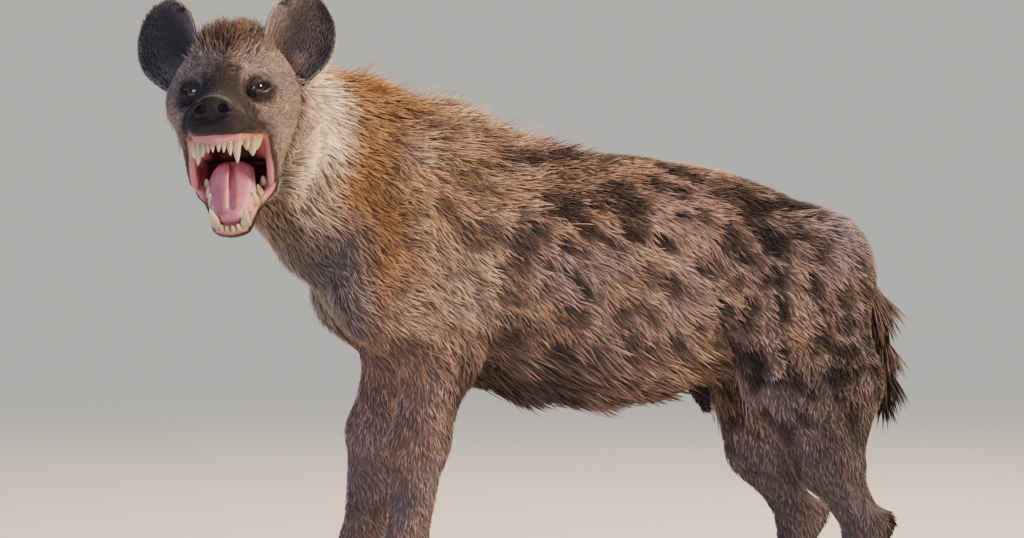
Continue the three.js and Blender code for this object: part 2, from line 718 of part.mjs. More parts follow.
// A closed plate from a grid of spots on its two faces.
function sheet(spot, columns, rows) {
  const points = [];
  for (const face of [1, -1]) {
    for (let j = 0; j <= rows; j++) {
      for (let i = 0; i <= columns; i++) points.push(...spot(i, j, face).toArray());
    }
  }
  const n = (columns + 1) * (rows + 1);
  const at = (i, j) => j * (columns + 1) + i;
  const faces = [];
  const quad = (a, b, c, d) => faces.push(a, b, c, a, c, d);
  for (let j = 0; j < rows; j++) {
    for (let i = 0; i < columns; i++) {
      const [a, b, c, d] = [at(i, j), at(i + 1, j), at(i + 1, j + 1), at(i, j + 1)];
      quad(a, b, c, d);
      quad(n + a, n + d, n + c, n + b);
    }
  }
  for (let i = 0; i < columns; i++) {
    quad(at(i, 0), n + at(i, 0), n + at(i + 1, 0), at(i + 1, 0));
    quad(at(i, rows), at(i + 1, rows), n + at(i + 1, rows), n + at(i, rows));
  }
  for (let j = 0; j < rows; j++) {
    quad(at(0, j), at(0, j + 1), n + at(0, j + 1), n + at(0, j));
    quad(at(columns, j), n + at(columns, j), n + at(columns, j + 1), at(columns, j + 1));
  }
  const geometry = new THREE.BufferGeometry();
  geometry.setAttribute("position", new THREE.Float32BufferAttribute(points, 3));
  geometry.setIndex(faces);
  return geometry;
}

// The tongue lies on the floor of the mouth, in the axes of the jaw.
const tongue = turned(
  JAW,
  blend(
    12,
    chain(14, [
      [66, 0, -34, 17],
      [80, 0, -41, 17.5],
      [98, 0, -45, 15.5],
      [116, 0, -46, 13],
      [138, 0, -46, 9.5],
    ], 1.65),
  ),
);
const groove = turned(JAW, limb([60, 0, -23], [130, 0, -33], 4, 3));
const grooved = (x, y, z) => smoothMax(tongue(x, y, z), -groove(x, y, z), 8);

// The boxes in which the parts lie: two corners and the axes they are given in.
const about = (origin, angle) => new THREE.Matrix4().makeRotationY(radians(angle)).setPosition(...origin);
const NECK_AXES = about([-165, 0, 811], -146.7);
const headBox = [[-70, -170, -210], [260, 170, 260], HEAD];
const jawBox = [[24, -95, -96], [200, 95, -36], JAW];
const noseBox = [[151, -29, -2], [200, 29, 40], HEAD];
const tongueBox = [[40, -36, -56], [152, 36, 20], JAW];
const neckBox = [[0, -400, -500], [600, 300, 500], NECK_AXES];
const chestBox = [[-500, -300, 200], [-20 - GAP, 300, 1000], WORLD];
const bellyBox = [[-20, -300, 200], [285, 300, 1000], WORLD];
const rumpBox = [[285 + GAP, -300, 200], [700, 300, 1000], WORLD];
const tailBox = [[488, -34, 250], [640, 34, 512], WORLD];
const FORE_AXES = about([-125, 0, 408], 15);
const HIND_AXES = about([400, 0, 405], -11.3);
function legBox(leg, fore) {
  const [near, far] = leg.side < 0 ? [-220, -20] : [20, 220];
  const reach = fore ? [-220, 160] : [-140, 170];
  return [[reach[0], near, -520], [reach[1], far, 0], fore ? FORE_AXES : HIND_AXES];
}
function pawBox(leg) {
  const [x, y] = leg.foot;
  return [[x - 140, y - 75, -100], [x + 90, y + 75, 74], WORLD];
}
function earBox(side) {
  const normal = new THREE.Vector3(-0.1, 0.57 * side, 0.82).normalize();
  const turn = new THREE.Quaternion().setFromUnitVectors(new THREE.Vector3(0, 0, 1), normal);
  const seat = new THREE.Matrix4().makeRotationFromQuaternion(turn).setPosition(-40, 60 * side, 74);
  return [[-42, -52, 0], [48, 52, 190], HEAD.clone().multiply(seat)];
}

const group = new THREE.Group();
const COAT = { color: 0x9a7656, roughness: 0.95, metalness: 0 };
const FACE = { color: 0x6a5a55, roughness: 0.9, metalness: 0 };
const DARK_FUR = { color: 0x4c382d, roughness: 0.95, metalness: 0 };
const NOSE_SKIN = { color: 0x2a2426, roughness: 0.45, metalness: 0 };
const WET_EYE = { color: 0x1e120c, roughness: 0.05, metalness: 0 };
const TONGUE = { color: 0xc87886, roughness: 0.3, metalness: 0 };
function add(name, shape, finish) {
  const body = largest(shape);
  const { vertProperties, triVerts, numProp } = body.getMesh();
  const geometry = new THREE.BufferGeometry();
  const position = new Float32Array((vertProperties.length / numProp) * 3);
  for (let i = 0; i < position.length / 3; i++) {
    for (let k = 0; k < 3; k++) position[3 * i + k] = vertProperties[numProp * i + k];
  }
  geometry.setAttribute("position", new THREE.BufferAttribute(position, 3));
  geometry.setIndex(new THREE.BufferAttribute(Uint32Array.from(triVerts), 1));
  geometry.computeVertexNormals();
  const mesh = new THREE.Mesh(geometry, new THREE.MeshStandardMaterial(finish));
  mesh.name = name;
  group.add(mesh);
}

const SIDES = { left: 1, right: -1 };
const ball = (side, radius) => {
  const geometry = new THREE.SphereGeometry(radius, 12, 8);
  geometry.translate(EYE[0], EYE[1] * side, EYE[2]);
  geometry.applyMatrix4(HEAD);
  return solid(geometry);
};
// The opening between the lids.
const SLIT = [10, 14.5, 5.8];
const slit = (side) => {
  const geometry = new THREE.SphereGeometry(1, 12, 7);
  geometry.scale(...SLIT);
  geometry.translate(15, 0, 0);
  geometry.applyMatrix4(EYE_AXES);
  geometry.scale(1, side, 1);
  if (side < 0) geometry.getIndex().array.reverse();
  geometry.applyMatrix4(HEAD);
  return solid(geometry);
};
const HEAD_SPACE = [[-640, -460, 560], [-280, 0, 970]];

let head = part(body, ...HEAD_SPACE, 7.5, 2.7, headBox, jawBox, noseBox, earBox(1), earBox(-1));
head = head.add(teeth(HEAD, UPPER_TEETH));
for (const side of Object.values(SIDES)) {
  head = head.subtract(ball(side, EYE_RADIUS + GAP + 0.2)).subtract(slit(side));
}
add("head", head, FACE);
const jaw = part(body, ...HEAD_SPACE, 7, 2.5, jawBox, tongueBox);
add("lower_jaw", jaw.add(teeth(JAW, LOWER_TEETH)), FACE);
add("nose", part(body, ...HEAD_SPACE, 5, 1.3, noseBox), NOSE_SKIN);
const lain = part(grooved, ...HEAD_SPACE, 6, 1.6, tongueBox);
add("tongue", lain.subtract(teeth(JAW, LOWER_TEETH, 0.5)), TONGUE);
for (const [name, side] of Object.entries(SIDES)) {
  const seat = part(body, ...HEAD_SPACE, 9, 3, earBox(side));
  const plate = earPlate(side).intersect(box(...earBox(side)));
  add("ear_" + name, plate.add(seat), FACE);
  add("eye_" + name, ball(side, EYE_RADIUS), WET_EYE);
}
const ears = [earBox(1), earBox(-1)];
const neckSpace = [[-600, -330, 480], [-60, 180, 940]];
add("neck", part(body, ...neckSpace, 18, 6, neckBox, headBox, jawBox, ...ears), COAT);
const foreBoxes = [legBox(LEGS.foreleg_left, true), legBox(LEGS.foreleg_right, true)];
const hindBoxes = [legBox(LEGS.hindleg_left, false), legBox(LEGS.hindleg_right, false)];
const chestSpace = [[-380, -180, 320], [10, 180, 860]];
add("chest", part(body, ...chestSpace, 18, 7, chestBox, neckBox, headBox, ...foreBoxes), COAT);
const bellySpace = [[-50, -190, 310], [315, 190, 830]];
add("belly", part(body, ...bellySpace, 20, 6.5, bellyBox, neckBox, ...foreBoxes, ...hindBoxes), COAT);
add("rump", part(body, [255, -190, 320], [570, 190, 760], 18, 5, rumpBox, tailBox, ...hindBoxes), COAT);
add("tail", part(tail, [460, -50, 320], [580, 50, 640], 10, 3, tailBox), DARK_FUR);
for (const [name, leg] of Object.entries(LEGS)) {
  const fore = name.startsWith("fore");
  const [x, y] = leg.foot;
  const space = fore ? [[-300, y - 90, 50], [-20, y + 90, 470]] : [[260, y - 90, 50], [560, y + 90, 470]];
  add(name, part(body, ...space, 14, 3.6, legBox(leg, fore), pawBox(leg), tailBox), COAT);
  const [low, high] = pawBox(leg);
  const sole = [[low[0], low[1], 0], [high[0], high[1], high[2] - GAP]];
  const pawSpace = [[x - 110, y - 66, -20], [x + 66, y + 66, 90]];
  const pad = part(body, ...pawSpace, 9, 3.2, sole);
  const claws = [-1.5, -0.5, 0.5, 1.5].map((i) => {
    const tip = [x - (84 - 7 * Math.abs(i)) * leg.size, y + 20 * i * leg.size, 7];
    return cone(WORLD, [tip[0] + 24, y + 19 * i * leg.size, 15 * leg.size], tip, 4.6);
  });
  add("paw_" + name.replace("leg", ""), union(pad, ...claws), DARK_FUR);
}

// The origin is on the floor, under the middle of the animal.
const bounds = new THREE.Box3().setFromObject(group);
const middle = bounds.getCenter(new THREE.Vector3());
for (const mesh of group.children) mesh.geometry.translate(-middle.x, -middle.y, -bounds.min.z);

export default group;
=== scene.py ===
"""Spotted hyena, standing with its jaws open, as a life-size model with its coat.

One closed skin stands under the coat, and short tufts of hair lie over it from the muzzle to the tail.
The eyes, nose, ears, teeth, tongue and claws are pieces of their own.
Sizes are in millimetres in the animal's own axes: the head points along -X, its left side is -Y and +Z is up.
"""
import logging
import math
from dataclasses import dataclass, field
from enum import Enum
from typing import Callable, Sequence

import bpy
import numpy as np
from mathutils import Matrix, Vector

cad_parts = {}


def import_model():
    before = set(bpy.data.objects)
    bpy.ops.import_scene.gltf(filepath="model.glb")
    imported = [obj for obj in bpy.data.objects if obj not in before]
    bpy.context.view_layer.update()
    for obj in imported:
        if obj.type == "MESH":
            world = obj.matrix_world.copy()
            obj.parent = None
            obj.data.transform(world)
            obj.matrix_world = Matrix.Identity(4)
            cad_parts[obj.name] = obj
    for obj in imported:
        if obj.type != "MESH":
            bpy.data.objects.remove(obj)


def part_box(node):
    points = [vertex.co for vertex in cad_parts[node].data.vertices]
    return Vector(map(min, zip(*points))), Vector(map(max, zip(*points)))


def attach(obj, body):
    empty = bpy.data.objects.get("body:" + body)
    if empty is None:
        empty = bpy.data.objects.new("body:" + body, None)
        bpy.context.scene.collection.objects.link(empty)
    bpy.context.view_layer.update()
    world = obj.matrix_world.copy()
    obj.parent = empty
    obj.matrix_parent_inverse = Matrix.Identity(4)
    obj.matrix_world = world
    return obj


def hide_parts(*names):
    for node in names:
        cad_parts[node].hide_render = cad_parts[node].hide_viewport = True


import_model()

LOG = logging.getLogger("hyena")
Array = np.ndarray
Shape = Callable[[Array], Array]
Point = Sequence[float]
Tree = bpy.types.NodeTree
Node = bpy.types.Node
Socket = bpy.types.NodeSocket
Material = bpy.types.Material
TOES = (-1.5, -0.5, 0.5, 1.5)


class Region(Enum):
    """Parts of the coat, each with its own pieces."""

    FACE = 0
    CREST = 1
    NECK = 2
    FLANK = 3
    BELLY = 4
    RUMP = 5
    FORELEG = 6
    HINDLEG = 7
    TAIL = 8


def unit(v: Array) -> Array:
    """Scales each row of v to length one."""
    return v / np.maximum(np.linalg.norm(v, axis=-1, keepdims=True), 1e-9)


def flattened(way: Array, n: Array) -> Array:
    """Directions laid flat on surfaces with normals n, at length one."""
    return unit(way - n * (way * n).sum(axis=1, keepdims=True))


def toward(a: Array, b: Array | float, share: Array) -> Array:
    """Moves a towards b by a share."""
    return a * (1 - share) + b * share


def span(v: Array) -> Array:
    """Length of each row of v."""
    return np.linalg.norm(v, axis=1)


def ramp(lo: float, hi: float, x: Array) -> Array:
    """Rises smoothly from 0 at lo to 1 at hi, or falls where hi is below lo."""
    t = np.clip((x - lo) / (hi - lo), 0.0, 1.0)
    return t * t * (3.0 - 2.0 * t)


def soft_min(a: Array, b: Array, k: float) -> Array:
    """Joins two fields with a fillet about k wide."""
    h = np.maximum(k - np.abs(a - b), 0.0) / k
    return np.minimum(a, b) - h * h * (k * 0.25)


def soft_max(a: Array, b: Array, k: float) -> Array:
    """Keeps what two fields share, with a rounded edge about k wide."""
    return -soft_min(-a, -b, k)


def limb(a: Point, b: Point, ra: float, rb: float, flat: float = 1.0) -> Shape:
    """A round bar from a to b that tapers from ra to rb.

    Args:
        a: first end.
        b: second end.
        ra: radius at a.
        rb: radius at b.
        flat: width across Y for each unit of height.

    Returns:
        The field of the bar.
    """
    start, run = np.array(a, float), np.array(b, float) - np.array(a, float)
    square = float(run @ run)

    def shape(p: Array) -> Array:
        """Distance to the bar.

        Args:
            p: places.

        Returns:
            One value for each.
        """
        q = p - start
        t = np.clip((q @ run) / square, 0.0, 1.0)
        q = q - t[:, None] * run
        return np.sqrt(q[:, 0] ** 2 + (q[:, 1] / flat) ** 2 + q[:, 2] ** 2) - ra - t * (rb - ra)

    return shape


def blob(centre: Point, radii: Point) -> Shape:
    """An egg-shaped mass with three radii.

    Args:
        centre: its middle.
        radii: its radius along each axis.

    Returns:
        Its field.
    """
    c, r = np.array(centre, float), np.array(radii, float)

    def shape(p: Array) -> Array:
        """Distance to the egg."""
        q = (p - c) / r
        return span(q) * (span(q) - 1.0) / np.maximum(span(q / r), 1e-9)

    return shape


def blend(k: float, *shapes: Shape) -> Shape:
    """Joins several fields with fillets about k wide.

    Args:
        k: width of the fillets.
        shapes: the fields.

    Returns:
        The joined field.
    """

    def shape(p: Array) -> Array:
        """Distance to all of them.

        Args:
            p: places.

        Returns:
            One value for each.
        """
        d = shapes[0](p)
        for one in shapes[1:]:
            d = soft_min(d, one(p), k)
        return d

    return shape


def chain(k: float, points: Sequence[Point], flat: float = 1.0) -> Shape:
    """A bar through several points, each given as x, y, z and radius."""
    pairs = zip(points[:-1], points[1:])
    return blend(k, *[limb(a[:3], b[:3], a[3], b[3], flat) for a, b in pairs])


@dataclass(frozen=True)
class Axes:
    """A place and three directions, with local coordinates forward, left and up."""

    origin: Array
    turn: Array

    def local(self, p: Array) -> Array:
        """Takes points into these axes."""
        return (p - self.origin) @ self.turn

    def world(self, q: Array) -> Array:
        """Takes points out of these axes."""
        return np.asarray(q, float) @ self.turn.T + self.origin

    def way(self, q: Array) -> Array:
        """Takes directions out of these axes."""
        return np.asarray(q, float) @ self.turn.T

    def placed(self, shape: Shape) -> Shape:
        """The field of a shape given in these axes, the same on both sides.

        Args:
            shape: a field in these axes.

        Returns:
            The field outside them.
        """

        def world_shape(p: Array) -> Array:
            """The field at places outside these axes.

            Args:
                p: places.

            Returns:
                One value for each.
            """
            q = self.local(p)
            q[:, 1] = np.abs(q[:, 1])
            return shape(q)

        return world_shape


def head_axes() -> Axes:
    """Axes of the skull: it looks at the viewer and leans a little.

    Returns:
        The axes.
    """
    turn, pitch, roll = (math.radians(v) for v in (70.0, 3.0, 3.5))
    ahead, up = np.array([-math.cos(turn), -math.sin(turn), 0.0]), np.array([0.0, 0.0, 1.0])
    f = ahead * math.cos(pitch) + up * math.sin(pitch)
    u = up * math.cos(pitch) - ahead * math.sin(pitch)
    side = np.cross(u, f)
    left = side * math.cos(roll) + u * math.sin(roll)
    u = u * math.cos(roll) - side * math.sin(roll)
    return Axes(np.array([-423.0, -175.0, 775.0]), np.stack([f, left, u], axis=1))


GAPE = math.radians(46.0)
HEAD = head_axes()
JAW = Axes(
    HEAD.origin,
    HEAD.turn @ np.array([
        [math.cos(GAPE), 0.0, math.sin(GAPE)],
        [0.0, 1.0, 0.0],
        [-math.sin(GAPE), 0.0, math.cos(GAPE)],
    ]),
)


class Noise:
    """Smooth seeded noise in space, from -1 to 1."""

    def __init__(self, seed: int) -> None:
        """Fills the table of values from a seed."""
        self.table = np.random.default_rng(seed).uniform(-1.0, 1.0, 4096)

    def at(self, p: Array, size: float) -> Array:
        """The noise at points p, with features about size wide.

        Args:
            p: places.
            size: width of its features.

        Returns:
            One value for each.
        """
        q = p / size
        base = np.floor(q).astype(np.int64)
        t = q - base
        t = t * t * (3.0 - 2.0 * t)
        total = np.zeros(len(p))
        for corner in np.ndindex(2, 2, 2):
            cell = base + np.array(corner)
            key = (cell[:, 0] * 73856093) ^ (cell[:, 1] * 19349663) ^ (cell[:, 2] * 83492791)
            weight = np.prod(np.where(np.array(corner) == 1, t, 1.0 - t), axis=1)
            total += weight * self.table[key & 4095]
        return total


@dataclass(frozen=True)
class Anatomy:
    """The field of the whole body, from named bones and masses.

    The feet are given as X, Y and size.
    """

    trunk_rows: tuple = (
        (-205, 742, 470, 88), (-120, 772, 416, 116), (-20, 750, 394, 130), (90, 731, 378, 138),
        (200, 717, 382, 130), (300, 698, 410, 116), (400, 658, 450, 100), (450, 616, 480, 82),
    )
    chest_cap: float = 55.0
    croup_cap: float = 46.0
    eye: tuple = (50.0, 40.0, 41.0)
    eye_radius: float = 13.5
    lid: float = 4.0
    upper_lip: float = -22.0
    lower_lip: float = -51.0
    corner: tuple = (96.0, -86.0, 46.0)
    gullet: float = 54.0
    feet: tuple = (
        (-184.0, -100.0, 1.08), (-204.0, 100.0, 1.08), (444.0, -98.0, 0.94), (398.0, 98.0, 0.94),
    )

    def trunk(self, p: Array) -> Array:
        """The barrel of the body, from rows of top, bottom and half width.

        Args:
            p: places.

        Returns:
            The field there.
        """
        rows = np.array(self.trunk_rows, float)
        xs = rows[:, 0]
        x = np.clip(p[:, 0], xs[0], xs[-1])
        i = np.searchsorted(xs[1:-1], x, side="left")
        lo, hi = np.maximum(np.arange(len(xs)) - 1, 0), np.minimum(np.arange(len(xs)) + 1, len(xs) - 1)
        slope = (rows[hi] - rows[lo]) / (xs[hi] - xs[lo])[:, None]
        h = xs[i + 1] - xs[i]
        t = np.clip((x - xs[i]) / h, 0.0, 1.0)[:, None]
        t2, t3 = t * t, t * t * t
        at = (2 * t3 - 3 * t2 + 1) * rows[i] + (3 * t2 - 2 * t3) * rows[i + 1]
        at = at + ((t3 - 2 * t2 + t) * slope[i] + (t3 - t2) * slope[i + 1]) * h[:, None]
        cap = np.where(p[:, 0] < xs[0], self.chest_cap, self.croup_cap)
        half, height, middle = at[:, 3], (at[:, 1] - at[:, 2]) / 2, (at[:, 1] + at[:, 2]) / 2
        a, b, c = (p[:, 0] - x) / cap, p[:, 1] / half, (p[:, 2] - middle) / height
        k0 = np.sqrt(a * a + b * b + c * c)
        k1 = np.sqrt((a / cap) ** 2 + (b / half) ** 2 + (c / height) ** 2)
        return k0 * (k0 - 1.0) / np.maximum(k1, 1e-9)

    def foreleg(self, side: int, back: float) -> tuple[Shape, Shape]:
        """Upper and lower part of a foreleg.

        Args:
            side: -1 for the animal's left, 1 for its right.
            back: how far the foot stands back.

        Returns:
            Both fields.
        """
        y = 100.0 * side
        upper = blend(
            40,
            limb((-132, 62 * side, 690), (-196, 84 * side, 530), 62, 66, 0.6),
            limb((-196, 82 * side, 530), (-122 + back / 2, 0.98 * y, 450), 68, 56, 0.75),
        )
        lower = blend(
            24,
            limb((-126 + back / 2, y, 446), (-152 + back, y, 330), 54, 42),
            limb((-152 + back, y, 330), (-172 + back, y, 175), 42, 31),
            limb((-172 + back, y, 175), (-178 + back, y, 60), 32, 33),
        )
        return upper, lower

    def hindleg(self, side: int, back: float) -> tuple[Shape, Shape]:
        """Upper and lower part of a hind leg.

        Args:
            side: -1 for the animal's left, 1 for its right.
            back: how far the foot stands back.

        Returns:
            Both fields.
        """
        y = 98.0 * side
        upper = blend(
            40,
            limb((412, 66 * side, 560), (362 + back / 4, 92 * side, 430), 90, 66, 0.72),
            limb((436, 58 * side, 516), (444 + back / 2, 88 * side, 405), 60, 62, 0.8),
        )
        lower = blend(
            26,
            limb((362 + back / 4, 96 * side, 400), (420 + back, y, 300), 52, 46, 0.8),
            limb((446 + back / 2, 94 * side, 396), (440 + back, y, 300), 60, 42, 0.8),
            limb((424 + back, y, 300), (482 + back, y, 200), 44, 29),
            limb((484 + back, y, 198), (510 + back, y, 208), 22, 18),
            limb((482 + back, y, 196), (456 + back, y, 66), 28, 26),
        )
        return upper, lower

    def paw(self, x: float, y: float, s: float) -> Shape:
        """A foot of four toes on a pad.

        Args:
            x: its place along the body.
            y: its place across the body.
            s: its size.

        Returns:
            Its field.
        """
        toes = []
        for i in TOES:
            knuckle = (x - 22 * s, y + 15 * i * s, 26 * s)
            tip = (x - (56 - 6 * abs(i)) * s, y + 19 * i * s, 13 * s)
            toes.append(limb(knuckle, tip, 17 * s, 15 * s))
        return blend(9, limb((x + 6, y, 34 * s), (x - 18 * s, y, 24 * s), 33 * s, 31 * s), *toes)

    def tail(self) -> Shape:
        """The root of the tail and the core of its brush.

        Returns:
            Its field.
        """
        root = chain(14, [(448, 0, 580, 36), (492, 0, 554, 24), (516, 0, 512, 19), (527, 0, 452, 15)])
        brush = chain(14, [(527, 0, 452, 14), (531, 0, 410, 13), (533, 0, 385, 8)])
        return blend(14, root, brush)

    def mouth(self, p: Array) -> Array:
        """The open mouth, less than zero inside it.

        Args:
            p: places.

        Returns:
            The field there.
        """
        q, j = HEAD.local(p), JAW.local(p)
        side_l = np.abs(q[:, 1])
        df, du = q[:, 0] - self.corner[0], q[:, 2] - self.corner[1]
        half = GAPE / 2
        ahead = df * math.cos(half) - du * math.sin(half)
        across = np.abs(df * math.sin(half) + du * math.cos(half))
        side = np.where(
            ahead < 0,
            np.hypot(ahead, across) - self.corner[2],
            across - self.corner[2] - ahead * math.tan(half),
        )
        throat = soft_max(side_l - 48.0, self.gullet - np.hypot(q[:, 0], q[:, 2]), 12.0)
        inner = soft_min(side, throat, 10.0)
        d = soft_max(q[:, 2] - self.upper_lip, self.lower_lip - j[:, 2], 10.0)
        d = soft_min(soft_max(d, inner, 14.0), HEAD.placed(blob((98, 0, -30), (58, 24, 14)))(p), 8.0)
        return d

    def eye_axes(self, side: int) -> Axes:
        """Axes of one eye: out of the socket, along the slit, and across it.

        Args:
            side: 1 for the animal's left eye, -1 for its right.

        Returns:
            The axes.
        """
        gaze = unit(np.array([0.66, 0.74, 0.12]))
        slit = np.array([-0.72, 0.6, 0.24])
        slit = unit(slit - gaze * (slit @ gaze))
        over = np.cross(gaze, slit)
        mirror = np.array([1.0, side, 1.0])
        local = np.stack([gaze * mirror, slit * mirror, over * mirror], axis=1)
        return Axes(HEAD.world(np.array(self.eye) * mirror), HEAD.turn @ local)

    def slit(self, p: Array) -> Array:
        """The opening between the lids of both eyes.

        Args:
            p: places.

        Returns:
            The field there.
        """
        opening = blob((15, 0, 0), (10, 14.5, 5.4))
        left, right = self.eye_axes(1), self.eye_axes(-1)
        return np.minimum(opening(left.local(p)), opening(right.local(p)))

    def gums(self) -> Shape:
        """The ridge that carries the upper teeth.

        Returns:
            Its field.
        """
        side = limb((56, 42, -21), (140, 24, -23), 9, 8.5)
        front = limb((140, 24, -24), (155, 0, -27), 9.2, 9.6)
        return HEAD.placed(blend(6, side, front))

    def jawbone(self) -> Shape:
        """The lower jaw.

        Returns:
            Its field.
        """
        return JAW.placed(blend(
            20,
            limb((0, 50, -20), (66, 40, -60), 28, 15), limb((66, 40, -60), (140, 14, -57), 15, 12),
            limb((140, 12, -57), (147, 0, -57), 13, 14), limb((20, 0, -54), (130, 0, -61), 26, 11),
        ))

    def skull(self) -> Shape:
        """The cranium, cheekbones and muzzle.

        Returns:
            Its field.
        """
        return HEAD.placed(blend(
            26,
            blob((-24, 0, 46), (78, 82, 80)), blob((0, 50, 24), (56, 44, 46)),
            limb((6, 0, 54), (66, 0, 30), 52, 36, 1.12), limb((66, 0, 26), (134, 0, 8), 38, 26, 1.12),
            limb((56, 44, -4), (138, 20, -6), 23, 20), blob((146, 0, -14), (21, 26, 18)),
        ))

    def frame_shapes(self) -> list[tuple[Shape, float]]:
        """Every mass behind the head with the width of its fillet.

        Returns:
            The fields and the widths.
        """
        upper_neck = chain(50, [
            (-110, 0, 706, 76), (-230, -18, 742, 78), (-335, -66, 770, 76), (-395, -112, 785, 72),
        ])
        lower_neck = chain(50, [
            (-200, 0, 590, 96), (-258, -14, 630, 82), (-318, -60, 688, 74), (-378, -112, 735, 66),
        ])
        mane = chain(26, [
            (-385, -98, 824, 15), (-330, -62, 812, 17), (-250, -24, 790, 18), (-165, 0, 758, 19),
            (-112, 0, 751, 19), (-50, 0, 720, 18), (30, 0, 704, 14),
        ])
        belly = chain(30, [(-70, 0, 422, 20), (10, 0, 410, 22), (120, 0, 400, 22), (230, 0, 416, 22)])
        sheath = limb((256, -8, 412), (273, -14, 367), 24, 13, 0.8)
        shapes = [(blend(50, upper_neck, lower_neck), 60.0), (mane, 34.0), (belly, 30.0), (sheath, 12.0)]
        legs = (self.foreleg(-1, 0), self.foreleg(1, -20), self.hindleg(-1, 0), self.hindleg(1, -46))
        for upper, lower in legs:
            shapes += [(upper, 46.0), (lower, 30.0)]
        shapes += [(self.paw(*foot), 16.0) for foot in self.feet]
        shapes.append((self.tail(), 12.0))
        return shapes

    def flesh(self, depth: Callable[[Array], Array]) -> Shape:
        """The whole body under the coat, before the mouth is opened.

        Args:
            depth: how far the skin lies under the tips of the hair.

        Returns:
            The field of the body.
        """
        web, masseter = limb((44, 56, -20), (31, 49, -78), 14, 14), limb((14, 52, -26), (16, 46, -62), 22, 18)
        cheek = HEAD.placed(blend(14, web, masseter))
        brow = HEAD.placed(limb((38, 52, 62), (64, 26, 60), 12, 11))
        masses = self.frame_shapes()
        masses += [(self.skull(), 34.0), (self.jawbone(), 20.0), (cheek, 18.0), (brow, 14.0)]
        orbit = HEAD.placed(blob((76, 41, 38), (20, 12, 13)))
        lids = HEAD.placed(blob(self.eye, (self.eye_radius + self.lid,) * 3))

        def shape(p: Array) -> Array:
            """Distance to the body.

            Args:
                p: places.

            Returns:
                One value for each.
            """
            d = self.trunk(p)
            for mass, k in masses:
                d = soft_min(d, mass(p), k)
            d = soft_max(d, -orbit(p), 16.0)
            return soft_min(d, lids(p), 8.0) + depth(p)

        return shape

    def hide(self, flesh: Shape) -> Shape:
        """The skin: the body with its mouth open, its gums and the slits of its lids.

        Args:
            flesh: the field of the body.

        Returns:
            The field of the skin.
        """
        gums = self.gums()
        nose = HEAD.placed(blob((156, 0, 16), (15.5, 24, 15.5)))

        def shape(p: Array) -> Array:
            """Distance to the skin.

            Args:
                p: places.

            Returns:
                One value for each.
            """
            d = soft_max(flesh(p), -self.mouth(p), 6.0)
            d = soft_min(d, gums(p) + 0.6, 3.0)
            d = soft_min(d, nose(p), 9.0)
            d = soft_max(d, -self.slit(p), 2.4)
            return np.maximum(d, -p[:, 2] + 0.4)

        return shape


ANATOMY = Anatomy()


@dataclass
class Surface:
    """A mesh of points and quads with its normals."""

    points: Array
    quads: Array
    normals: Array


def slope(shape: Shape, p: Array, e: float = 0.6) -> Array:
    """The gradient of a field at points p."""
    steps = np.eye(3) * e
    return np.stack([shape(p + s) - shape(p - s) for s in steps], axis=1) / (2 * e)


BLOCK = 4
HALF_DIAGONAL = 0.87
SLACK = 1.5
BATCH = 4000


def sampled(shape: Shape, low: Array, high: Array, cell: float, reach: float) -> Array:
    """Samples a field on a grid: once in each block of cells, and at every corner near its zero.

    Args:
        shape: the field.
        low: lowest corner of the box.
        high: highest corner.
        cell: size of a cell.
        reach: how far the field may be off from a true distance.

    Returns:
        The values at the corners of the cells.
    """
    count = np.ceil((high - low) / cell / BLOCK).astype(int)
    corner = np.stack(np.meshgrid(*[np.arange(n) for n in count], indexing="ij"), axis=-1).reshape(-1, 3)
    rough = shape(low + (corner + 0.5) * cell * BLOCK)
    grid = rough.reshape(count)
    for axis in range(3):
        grid = np.repeat(grid, BLOCK, axis)
    grid = grid.astype(np.float32)
    near = corner[np.abs(rough) < cell * BLOCK * HALF_DIAGONAL * SLACK + reach] * BLOCK
    inner = np.stack(np.meshgrid(*[np.arange(BLOCK)] * 3, indexing="ij"), axis=-1).reshape(-1, 3)
    for some in np.array_split(near, max(1, len(near) // BATCH)):
        index = (some[:, None, :] + inner[None]).reshape(-1, 3)
        grid[tuple(index.T)] = shape(low + index * cell)
    return grid


def crossed_cells(grid: Array) -> tuple[Array, Array]:
    """Puts a point in each cell that the surface crosses, amid the crossings of the cell's edges.

    Args:
        grid: values at the corners of the cells.

    Returns:
        The number of each cell's point, or -1, and the points, measured in cells.
    """
    inside = grid < 0
    size = np.array(grid.shape) - 1
    total = np.zeros(size, np.int8)
    for c in np.ndindex(2, 2, 2):
        total += inside[c[0]:c[0] + size[0], c[1]:c[1] + size[1], c[2]:c[2] + size[2]]
    active = np.argwhere((total > 0) & (total < 8))
    number = np.full(size, -1, np.int64)
    number[tuple(active.T)] = np.arange(len(active))
    centre, hits = np.zeros((len(active), 3)), np.zeros(len(active))
    for axis in range(3):
        others = [k for k in range(3) if k != axis]
        for shift in np.ndindex(2, 2):
            offset = np.zeros(3, int)
            offset[others] = shift
            one = active + offset
            two = one.copy()
            two[:, axis] += 1
            a, b = grid[tuple(one.T)], grid[tuple(two.T)]
            cross = (a < 0) != (b < 0)
            t = np.where(cross, a / np.where(cross, a - b, 1.0), 0.0)
            spot = offset[None].astype(float).repeat(len(active), 0)
            spot[:, axis] += t
            centre += spot * cross[:, None]
            hits += cross
    return number, active + centre / hits[:, None]


